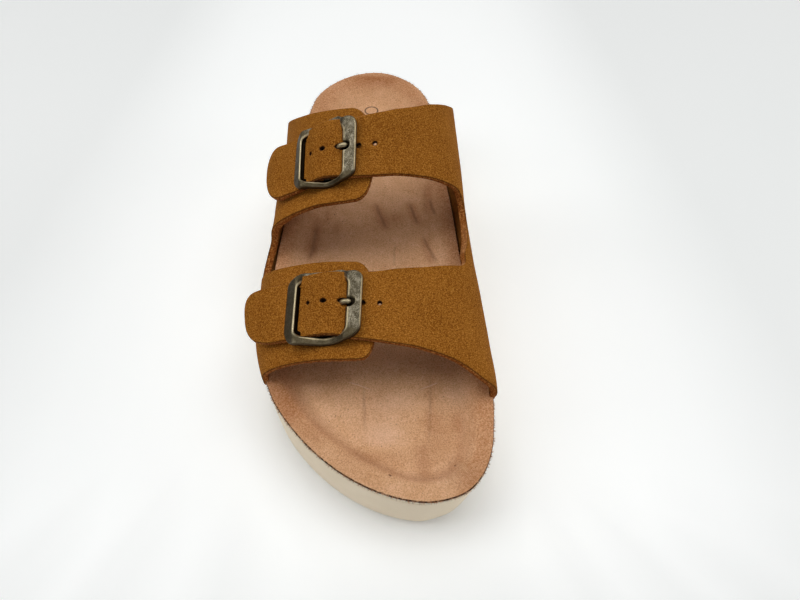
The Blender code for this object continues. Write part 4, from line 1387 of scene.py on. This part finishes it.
def cut_edges(triangles):
    """Directed edges that only one triangle has."""
    edges = np.vstack([triangles[:, [0, 1]], triangles[:, [1, 2]], triangles[:, [2, 0]]])
    keys = {(int(a), int(b)) for a, b in edges}
    return [(a, b) for a, b in keys if (b, a) not in keys]


def cut_outward(base, normals, rim, place):
    """Direction away from the leather at each point of its cut."""
    outward = np.zeros((len(place), 3))
    for a, b in rim:
        away = np.cross(base[b] - base[a], normals[a])
        outward[place[a]] += away
        outward[place[b]] += away
    return unit(outward, TINY)


def edge_round(gap, radius):
    """How far a rounded edge falls short of its face, by distance from the cut."""
    short = np.clip(radius - gap, 0, radius)
    return radius - np.sqrt(radius**2 - short**2)


def leather_marks(flat, gap, facing, ends, holes, buckles):
    """Marks of the nap side, then the flesh side, then the two rows of points round the cut."""
    count = len(flat)
    near_cut = CUT_MARK * np.clip(1 - gap / CUT_RINGS[-1], 0, 1)
    frayed = np.clip(FRAYED["at_cut"] - gap / FRAYED["reach"], 0, 1)
    rearward = np.clip(-facing, 0, 1)
    to_hole = np.full(count, np.inf)
    for hole in holes:
        to_hole = np.minimum(to_hole, distance_to(flat, hole))
    # Painted shade round the holes; the cut under a buckle frame gets it too.
    painted_hole_shade = np.clip(1 - to_hole / HOLE_SHADE, 0, 1)
    cut_shade = np.maximum(painted_hole_shade, under_frame(flat, buckles))[ends]
    return {
        "cut": np.concatenate([near_cut, frayed, np.ones(2 * len(ends))]),
        "flesh": np.concatenate([np.zeros(count), np.ones(count), np.zeros(2 * len(ends))]),
        "rearward": np.concatenate([rearward, np.zeros(count), rearward[ends], rearward[ends]]),
        "hole": np.concatenate([painted_hole_shade, painted_hole_shade, cut_shade, cut_shade]),
    }


def make_leather(name, outline, holes, side, buckles, material, node, seed):
    """One half of the upper: nap side, flesh side and the rough rounded cut between them."""
    triangles, flat, gap, facing = flat_mesh(outline, holes)
    base = leather_base(flat, side, buckles)
    normals = point_normals(base, triangles)
    top = base[:, 2] > 2 * FOOT_MIDDLE
    if normals[top, 2].mean() < 0:
        triangles = triangles[:, ::-1]
        normals = -normals
    outer = base + normals * (LEATHER - edge_round(gap, CUT_ROUND))[:, None]
    swell = CUT_SWELL["depth"] * np.exp(-(gap / CUT_SWELL["reach"])**2) * beside_opening(flat)
    inner = base + normals * (edge_round(gap, FLESH_ROUND) - swell)[:, None]
    rim = sorted(cut_edges(triangles))
    ends = np.array(sorted({a for edge in rim for a in edge}))
    place = {int(vertex): i for i, vertex in enumerate(ends)}
    outward = cut_outward(base, normals, rim, place)
    rough = np.random.default_rng(seed)
    rows = []
    for share in CUT_SHARES:
        push = CUT_BULGE + rough.normal(0.0, CUT_ROUGHNESS, len(ends))
        rows.append(outer[ends] * (1 - share) + inner[ends] * share + outward * push[:, None])
    points = np.vstack([outer, inner] + rows)
    count = len(flat)
    faces = [tuple(face) for face in triangles.tolist()]
    faces += [tuple(count + vertex for vertex in reversed(face)) for face in triangles.tolist()]
    high = 2 * count
    low = high + len(ends)
    for a, b in rim:
        i, j = place[a], place[b]
        faces.append((b, a, high + i, high + j))
        faces.append((high + j, high + i, low + i, low + j))
        faces.append((low + j, low + i, count + a, count + b))
    marks = leather_marks(flat, gap, facing, ends, holes, buckles)
    return piece(name, points, faces, material, [node], marks)


def make_upper(material):
    middle = MEDIAL_OPENING["middle"]
    buckles = ((REAR_BUCKLE, lambda along: along < middle), (FRONT_BUCKLE, lambda along: along >= middle))
    holes = strap_holes(REAR_STRAP, REAR_BUCKLE) + strap_holes(FRONT_STRAP, FRONT_BUCKLE)
    medial = blank_outline((REAR_STRAP, FRONT_STRAP), MEDIAL_OPENING, (REAR_TIP, FRONT_TIP))
    make_leather("upper_medial_suede", medial, holes, 1, buckles, material, "upper_medial", 3)
    lateral = blank_outline((REAR_TAB, FRONT_TAB), LATERAL_OPENING, (TAB_END, TAB_END))
    make_leather("upper_lateral_suede", lateral, [], -1, (), material, "upper_lateral", 4)


# Buckles

FRAME_HALF_REACH = 14.4
FRAME_HALF_ALONG = 15.6
FRAME_END_BAR = 6.1
FRAME_SIDE_BAR = 3.2
FRAME_INNER_REACH = FRAME_HALF_REACH - FRAME_END_BAR
FRAME_INNER_ALONG = FRAME_HALF_ALONG - FRAME_SIDE_BAR
FRAME_BOW = 0.7
FRAME_LATERAL_END = ((-14.4, -8.3, 0.0), (-16.8, -11.6, 0.0))
FRAME_CORNER = 4.4
FRAME_INNER_CORNER = 3.0
FRAME_BEND = Table("reach height", (
    (-17.0, 4.3),
    (-14.0, 5.8),
    (-11.0, 7.0),
    (-9.5, 6.6),
    (-5.0, 4.5),
    (0.0, 3.0),
    (5.0, 4.4),
    (9.0, 6.6),
    (15.0, 7.5),
))
FRAME_PROFILE = Table("share rise", (
    (0.00, 1.40),
    (0.03, 1.85),
    (0.08, 2.12),
    (0.14, 2.20),
    (0.80, 2.20),
    (0.90, 2.10),
    (0.96, 1.85),
    (1.00, 1.60),
))
FRAME_SHARES = tuple(np.linspace(0, 1, 26))
# Share of the frame's full thickness at its middle.
FRAME_MIDDLE_SHARE = 0.75
# How much the frame's toe side is drawn back.
FRAME_TOE_CURVE = Table("reach trim", (
    (-17.0, 4.4),
    (-14.4, 1.4),
    (-11.0, 0.1),
    (-4.0, 0.0),
    (4.0, 0.1),
    (9.0, 0.8),
    (14.4, 2.2),
))
# Underside of the frame's heel side, which lies on the tab behind the strap, and where that side begins.
FRAME_HEEL = Table("reach height", (
    (-11.0, 3.6),
    (-8.0, 2.9),
    (-3.0, 3.2),
    (0.0, 3.6),
    (4.0, 4.0),
    (9.0, 4.6),
))
FRAME_HEEL_SPAN = {"to": 8.6, "ramp": 3.4, "along": 8.5, "along_ramp": 3.0}
# Width of the dark lip inside the frame, a sheet painted as the shadow between frame and strap, at its
# outer end, inner end and toe side, and where it changes.
SHADOW_LIP = {"lateral": 0.55, "medial": 1.2, "toe": 1.5, "over_strap": 0.1}
SHADOW_LIP_ENDS = {"toe": 9.0, "toe_ramp": 2.0, "heel": 11.0, "heel_ramp": 1.2}
FRAME_HEEL_TRIM = {"trim": 1.5, "reach": -10.0, "reach_ramp": 4.0, "along": -8.0, "along_ramp": 6.0}
NOTCH = {"radius": 2.2, "depth": 1.7, "length": 1.3, "soft": 0.4, "rim": 0.35, "rim_worn": 0.8}
# Lines of wear and painted highlight along the frame's edges: distance in from the inner edge by end, and
# from the outer edge.
WORN_LINE = {"lateral": 0.35, "lateral_to": -9.0, "medial": 0.85, "inner_half": 0.33}
WORN_OUTER = {"inset": 0.2, "half": 0.25, "to": 11.0, "ramp": 3.0}
# Where the frame's outer end and toe side start to be painted darker as shade, and the ramp into it.
FRAME_SHADED_SIDES = {"reach": 9.0, "along": 10.0, "ramp": 2.0}
# How each frame leans and narrows towards the toe, where its prong lies, how far its heel side is set
# back and raised, and the reach from which that side dips.
FRAME_SHAPES = {
    "rear": {"lean": 0.0, "taper": 0.0025, "prong": -2.2, "back": 2.3, "rise": 0.3, "dip": -11.4},
    "front": {"lean": 0.056, "taper": 0.0006, "prong": -0.9, "back": 1.9, "rise": 0.0, "dip": -12.8},
}
PRONG_PATH = Table("reach height half_width half_height", (
    (-2.7, 3.7, 1.5, 0.35),
    (-2.1, 4.7, 1.5, 0.35),
    (0.0, 4.95, 1.5, 0.35),
    (2.2, 4.85, 1.4, 0.40),
    (4.0, 4.6, 1.25, 0.70),
    (5.6, 5.4, 1.2, 1.0),
    (6.4, 7.0, 1.2, 1.15),
    (7.2, 8.0, 1.2, 1.15),
    (8.2, 8.4, 1.2, 1.15),
    (9.2, 8.4, 1.2, 1.15),
    (10.3, 8.2, 1.1, 1.05),
))
PRONG_TIP = {"length": 1.3, "least": 0.02}
PRONG_TOP_HIGHLIGHT = 0.8
PRONG_SAMPLES = 6
PRONG_POINTS = 20
CENTRE_BAR_POINTS = 12
CENTRE_BAR_STATIONS = 15
# How dark the centre bar under the strap is painted as shade.
CENTRE_BAR_SHADE = 0.5
WALL_SHADE = 0.25
END_CROWDING = 1.7
CORNER_POINTS = 10
END_POINTS = 41
SIDE_POINTS = 20


def rounded_frame(half_reach, half_along, corner):
    """Rounded rectangle as (reach, along) points, closest at the middle of its end bars."""
    spread = np.linspace(-1, 1, END_POINTS + 2)[1:-1]
    spread = np.sign(spread) * np.abs(spread)**END_CROWDING
    even = np.linspace(-1, 1, SIDE_POINTS + 2)[1:-1]
    flat_reach = half_reach - corner
    flat_along = half_along - corner
    points = []
    for quarter, (reach_sign, along_sign) in enumerate(((1, 1), (-1, 1), (-1, -1), (1, -1))):
        angle = np.pi / 2 * quarter + np.linspace(0, np.pi / 2, CORNER_POINTS)
        arc = np.column_stack([np.cos(angle), np.sin(angle)]) * corner
        points.append(arc + [reach_sign * flat_reach, along_sign * flat_along])
        if quarter % 2 == 0:
            side = (-along_sign * even * flat_reach, np.full(SIDE_POINTS, along_sign * half_along))
        else:
            side = (np.full(END_POINTS, reach_sign * half_reach), reach_sign * spread * flat_along)
        points.append(np.column_stack(side))
    return np.vstack(points)


def shadow_lip_width(inner):
    """Width of the dark lip, a sheet painted as the shadow between frame and strap, at each point of the
    frame's inner outline.
    """
    along = inner[:, 1]
    lip = np.where(inner[:, 0] < 0, SHADOW_LIP["lateral"], SHADOW_LIP["medial"])
    toeward = smooth_step((along - SHADOW_LIP_ENDS["toe"]) / SHADOW_LIP_ENDS["toe_ramp"])
    heelward = smooth_step((-along - SHADOW_LIP_ENDS["heel"]) / SHADOW_LIP_ENDS["heel_ramp"])
    return (lip + (SHADOW_LIP["toe"] - lip) * toeward) * (1 - heelward)


def frame_plan(loop):
    """One loop of the frame, bowed and trimmed, and how far each point is on the heel side."""
    loop[:, 1] += FRAME_BOW * (1 - (loop[:, 0] / FRAME_HALF_REACH)**2)
    lateral = loop[:, 0] < 0
    loop[lateral, 0] = np.interp(loop[lateral, 0], *FRAME_LATERAL_END)
    toeward = np.clip(loop[:, 1] / FRAME_HALF_ALONG, 0, 1)**2
    heelward = smooth_step((-loop[:, 1] - FRAME_HEEL_SPAN["along"]) / FRAME_HEEL_SPAN["along_ramp"])
    loop[:, 1] -= FRAME_TOE_CURVE.at("trim", loop[:, 0]) * toeward
    corner = smooth_step((FRAME_HEEL_TRIM["reach"] - loop[:, 0]) / FRAME_HEEL_TRIM["reach_ramp"])
    corner *= smooth_step((FRAME_HEEL_TRIM["along"] - loop[:, 1]) / FRAME_HEEL_TRIM["along_ramp"])
    loop[:, 1] += FRAME_HEEL_TRIM["trim"] * corner
    return loop, heelward


def prong_notch(loop, prong):
    """How far the frame is sunk where the prong lies in it, and the rim of that notch."""
    half = NOTCH["length"] / 2
    past = np.clip(np.abs(loop[:, 0] - FRAME_INNER_REACH - half) - half, 0, None)
    off = np.hypot(past, loop[:, 1] - prong)
    medial = loop[:, 0] > 0
    sunk = smooth_step((NOTCH["radius"] - off) / NOTCH["soft"] + 0.5) * medial
    return sunk, np.exp(-((off - NOTCH["radius"]) / NOTCH["rim"])**2) * medial


def worn_lines(loop, from_outer, from_inner, heelward):
    """Bright lines of wear and painted highlight along the frame's inner edge, and its outer edge at the
    heel side and inner end.
    """
    inset = np.where(loop[:, 0] > WORN_LINE["lateral_to"], WORN_LINE["medial"], WORN_LINE["lateral"])
    inner_line = np.exp(-((from_inner - inset) / WORN_LINE["inner_half"])**2)
    outer_line = np.exp(-((from_outer - WORN_OUTER["inset"]) / WORN_OUTER["half"])**2)
    before_toe = smooth_step((WORN_OUTER["to"] - loop[:, 1]) / WORN_OUTER["ramp"])
    return np.maximum(inner_line, outer_line * (np.maximum(heelward, loop[:, 0] > 0) * before_toe))


def make_buckle(place, buckle, material):
    shape = FRAME_SHAPES[place]
    outer = rounded_frame(FRAME_HALF_REACH, FRAME_HALF_ALONG, FRAME_CORNER)
    inner = rounded_frame(FRAME_INNER_REACH, FRAME_INNER_ALONG, FRAME_INNER_CORNER)
    bar_width = np.linalg.norm(outer - inner, axis=1)
    wall = FRAME_PROFILE.at("rise", np.array([1.0]))[0] - WALL_SHADE
    # After the profile come the inner wall and the shadow lip, painted dark as shade like the lowest outer
    # row.
    shares = [0.0] + list(FRAME_SHARES) + [1.0, 1.0, 1 + shadow_lip_width(inner) / bar_width]
    rises = [0.0] + list(FRAME_PROFILE.at("rise", FRAME_SHARES)) + [wall, 0.0, 0.0]
    shaded = [1.0] + [0.0] * len(FRAME_SHARES) + [1.0, 1.0, 1.0]
    loops = []
    marks = {"wear_and_highlight": [], "patina_and_shade": [], "shaded_sides": []}
    for share, rise, shade in zip(shares, rises, shaded):
        share = np.broadcast_to(share, len(outer))
        loop, heelward = frame_plan(outer + (inner - outer) * share[:, None])
        reach = loop[:, 0]
        sunk, rim = prong_notch(loop, shape["prong"])
        ends = smooth_step(np.abs(reach) / FRAME_INNER_REACH)
        thick = FRAME_MIDDLE_SHARE + (1 - FRAME_MIDDLE_SHARE) * ends
        behind = heelward * between(reach, shape["dip"], FRAME_HEEL_SPAN["to"], FRAME_HEEL_SPAN["ramp"])
        loop[:, 1] -= shape["back"] * behind
        heel = FRAME_HEEL.at("height", reach) + shape["rise"]
        bend = FRAME_BEND.at("height", reach) * (1 - behind) + heel * behind
        height = bend + np.maximum(rise * thick - NOTCH["depth"] * sunk, 0.0)
        if share.max() > 1:
            beside = STRAP_LIFT.at("height", reach) + LEATHER + SHADOW_LIP["over_strap"]
            height = np.minimum(height, beside)
        narrowed = reach * (1 - shape["taper"] * (loop[:, 1] + FRAME_HALF_ALONG))
        loops.append(on_strap(buckle, narrowed - shape["lean"] * loop[:, 1], loop[:, 1], height))
        lines = worn_lines(loop, share * bar_width, (1 - share) * bar_width, heelward)
        wear_and_highlight = np.clip(lines * (1 - sunk) + NOTCH["rim_worn"] * rim, 0, 1)
        # Outer end and toe side painted darker as shade.
        outer_end = smooth_step((-reach - FRAME_SHADED_SIDES["reach"]) / FRAME_SHADED_SIDES["ramp"])
        toe_side = smooth_step((loop[:, 1] - FRAME_SHADED_SIDES["along"]) / FRAME_SHADED_SIDES["ramp"])
        marks["wear_and_highlight"].append(wear_and_highlight * (1 - shade))
        marks["patina_and_shade"].append(np.clip(sunk + shade, 0, 1))
        marks["shaded_sides"].append(np.maximum(outer_end, toe_side))
    count = len(outer)
    faces = ring_faces(len(loops), count)
    last = (len(loops) - 1) * count
    faces += [(last + j, last + (j + 1) % count, (j + 1) % count, j) for j in range(count)]
    points = np.vstack(loops)
    bar, bar_faces = centre_bar(buckle)
    faces += [tuple(len(points) + vertex for vertex in face) for face in bar_faces]
    for mark, on_bar in (("wear_and_highlight", 0.0), ("patina_and_shade", CENTRE_BAR_SHADE), ("shaded_sides", 1.0)):
        marks[mark] = np.concatenate(marks[mark] + [np.full(len(bar), on_bar)])
    points = np.vstack([points, bar])
    node = "buckle_" + place + "_frame"
    return piece("buckle_" + place + "_metal", points, faces, material, [node], marks)


def centre_bar(buckle):
    """Bar under the strap that carries the prong, as points and faces."""
    half = FRAME_INNER_ALONG
    angle = np.linspace(0, 2 * np.pi, CENTRE_BAR_POINTS, endpoint=False)
    loops = []
    for along in np.linspace(-half, half, CENTRE_BAR_STATIONS):
        rise = CENTRE_BAR_RISE * smooth_step((abs(along) - half) / CENTRE_BAR_RAMP + 1)
        middle = CENTRE_BAR_BASE + CENTRE_BAR_THICKNESS / 2 + rise
        loops.append(on_strap(
            buckle,
            CENTRE_BAR_WIDTH / 2 * np.cos(angle),
            np.full(len(angle), along),
            middle + CENTRE_BAR_THICKNESS / 2 * np.sin(angle),
        ))
    return rod(loops)


def rod(loops):
    """Points and faces of a solid through equal loops, closed at both ends."""
    count = len(loops[0])
    last = (len(loops) - 1) * count
    faces = ring_faces(len(loops), count)
    faces += [tuple(range(count)), tuple(last + j for j in range(count))]
    return np.vstack(loops), faces


def make_prong(place, buckle, material):
    rows = spline(PRONG_PATH.rows, PRONG_SAMPLES)
    heading = unit(np.gradient(rows[:, :2], axis=0))
    angle = np.linspace(0, 2 * np.pi, PRONG_POINTS, endpoint=False)
    loops = []
    wear_and_highlight = []
    left = rows[-1, 0] - rows[:, 0]
    for (reach, height, half_width, half_height), (forward, upward), to_end in zip(rows, heading, left):
        rounded_off = math.sqrt(1 - (1 - min(to_end / PRONG_TIP["length"], 1.0))**2)
        taper = rounded_off * (1 - PRONG_TIP["least"]) + PRONG_TIP["least"]
        up = half_height * taper * np.sin(angle)
        loops.append(on_strap(
            buckle,
            reach - upward * up,
            FRAME_SHAPES[place]["prong"] + half_width * taper * np.cos(angle),
            height + forward * up,
        ))
        # Painted highlight on the prong's upper side.
        wear_and_highlight.append(np.clip(np.sin(angle), 0, 1)**2 * PRONG_TOP_HIGHLIGHT)
    points, faces = rod(loops)
    marks = {"wear_and_highlight": np.concatenate(wear_and_highlight), "patina_and_shade": np.zeros(len(points))}
    name = "buckle_" + place + "_prong"
    return piece(name + "_metal", points, faces, material, [name], marks)


# Stage

CAMERA_FOCUS = 600.0
IMAGE_WIDTH = 800.0
SENSOR_WIDTH = 36.0
CAMERA_PITCH = 52.5
CAMERA_YAW = 1.945
CAMERA_PLACE = (4.265, 345.56, 264.39)
# The floor is laid in rings around the sole, as shares of its outline, each with its own soft glow:
# painted light, fading close to the sole as a painted contact shadow.
FLOOR_RINGS = Table("share glow", (
    (0.90, 0.00),
    (0.98, 0.08),
    (1.03, 0.16),
    (1.08, 0.24),
    (1.16, 0.29),
    (1.30, 0.33),
    (1.70, 0.34),
    (2.40, 0.34),
    (3.20, 0.31),
    (4.60, 0.20),
    (40.0, 0.17),
))
FLOOR_STATIONS = 40
FLOOR_TOE_SHADE = {"from": 265.0, "over": 40.0, "share": 0.32}
SKY = {"Color": (0.97, 0.99, 1.0, 1.0), "Strength": 0.02}
LIGHT_DISTANCE = 2.0
LIGHT_SIZE = 0.9
LIGHT_AIM = (0.0, 0.0, 0.05)

# Lights around the shoe: turn from behind the heel towards the lateral side, height, watts.
LIGHTS = (
    ("medial_low", 270.0, 15.0, 7.2),
    ("lateral", 90.0, 40.0, 7.1),
    ("lateral_high", 90.0, 65.0, 5.9),
    ("lateral_rear", 45.0, 65.0, 3.5),
    ("medial_high", 270.0, 65.0, 6.3),
    ("medial_rear", 315.0, 65.0, 3.9),
    ("medial_front", 225.0, 65.0, 3.5),
    ("toe", 180.0, 40.0, 4.4),
)


def make_camera():
    data = bpy.data.cameras.new("photo_view")
    data.sensor_width = SENSOR_WIDTH
    data.lens = CAMERA_FOCUS / IMAGE_WIDTH * SENSOR_WIDTH
    camera = linked("photo_view", data)
    pitch = math.radians(CAMERA_PITCH)
    yaw = math.radians(CAMERA_YAW)
    right = Vector((math.cos(yaw), -math.sin(yaw), 0.0))
    ahead = Vector((math.sin(yaw) * math.cos(pitch), math.cos(yaw) * math.cos(pitch), -math.sin(pitch)))
    up = right.cross(ahead)
    turn = Matrix((right, up, -ahead)).transposed().to_4x4()
    camera.matrix_world = Matrix.Translation(placed(CAMERA_PLACE).tolist()) @ turn
    bpy.context.scene.camera = camera


def make_floor():
    look = Finish("pale_floor", Roughness=0.8, Specular_IOR_Level=0.1)
    look.shader.inputs["Emission Color"].default_value = (1.0, 1.0, 1.0, 1.0)
    look.into("Emission Strength", look.mark("glow"))
    pales = ((0.3, tone(235, 238, 237)), (0.7, tone(238, 240, 239)))
    look.into("Base Color", look.ramp(look.noise(400.0, 2.0), *pales))
    loop = plan_loop(np.linspace(0, 1, FLOOR_STATIONS + 1))
    loop = placed(np.column_stack([loop, np.zeros(len(loop))]))
    count = len(loop)
    points = np.vstack([loop * share for share, _ in FLOOR_RINGS.rows])
    faces = ring_faces(len(FLOOR_RINGS.rows), count) + [tuple(range(count))]
    mesh = bpy.data.meshes.new("floor")
    mesh.from_pydata(points.tolist(), [], faces)
    # Painted light: the floor's glow by ring, dimmed towards the toe as painted shade.
    strength = np.repeat(FLOOR_RINGS.rows[:, 1], count)
    along = LENGTH / 2 - points[:, 1] / MM
    toeward = smooth_step((along - FLOOR_TOE_SHADE["from"]) / FLOOR_TOE_SHADE["over"])
    set_mark(mesh, "glow", strength * (1 - FLOOR_TOE_SHADE["share"] * toeward))
    mesh.materials.append(look.material)
    floor = linked("floor", mesh)


def make_light(name, turn, height, power):
    data = bpy.data.lights.new(name, "AREA")
    data.size = LIGHT_SIZE
    data.energy = power
    light = linked(name, data)
    turn = math.radians(turn)
    height = math.radians(height)
    level = LIGHT_DISTANCE * math.cos(height)
    light.location = (-level * math.sin(turn), level * math.cos(turn), LIGHT_DISTANCE * math.sin(height))
    light.rotation_euler = (Vector(LIGHT_AIM) - light.location).to_track_quat("-Z", "Y").to_euler()


def make_studio():
    scene = bpy.context.scene
    scene.view_settings.view_transform = "Standard"
    world = bpy.data.worlds.new("studio")
    scene.world = world
    world.use_nodes = True
    sky = world.node_tree.nodes["Background"]
    for socket, value in SKY.items():
        sky.inputs[socket].default_value = value
    for light in LIGHTS:
        make_light(*light)


make_sole(cream_foam())
make_footbed(bed_suede())
make_upper(strap_suede())
metal = aged_brass()
for where, buckle_row in (("rear", REAR_BUCKLE), ("front", FRONT_BUCKLE)):
    make_buckle(where, buckle_row, metal)
    make_prong(where, buckle_row, metal)
make_floor()
make_studio()
make_camera()
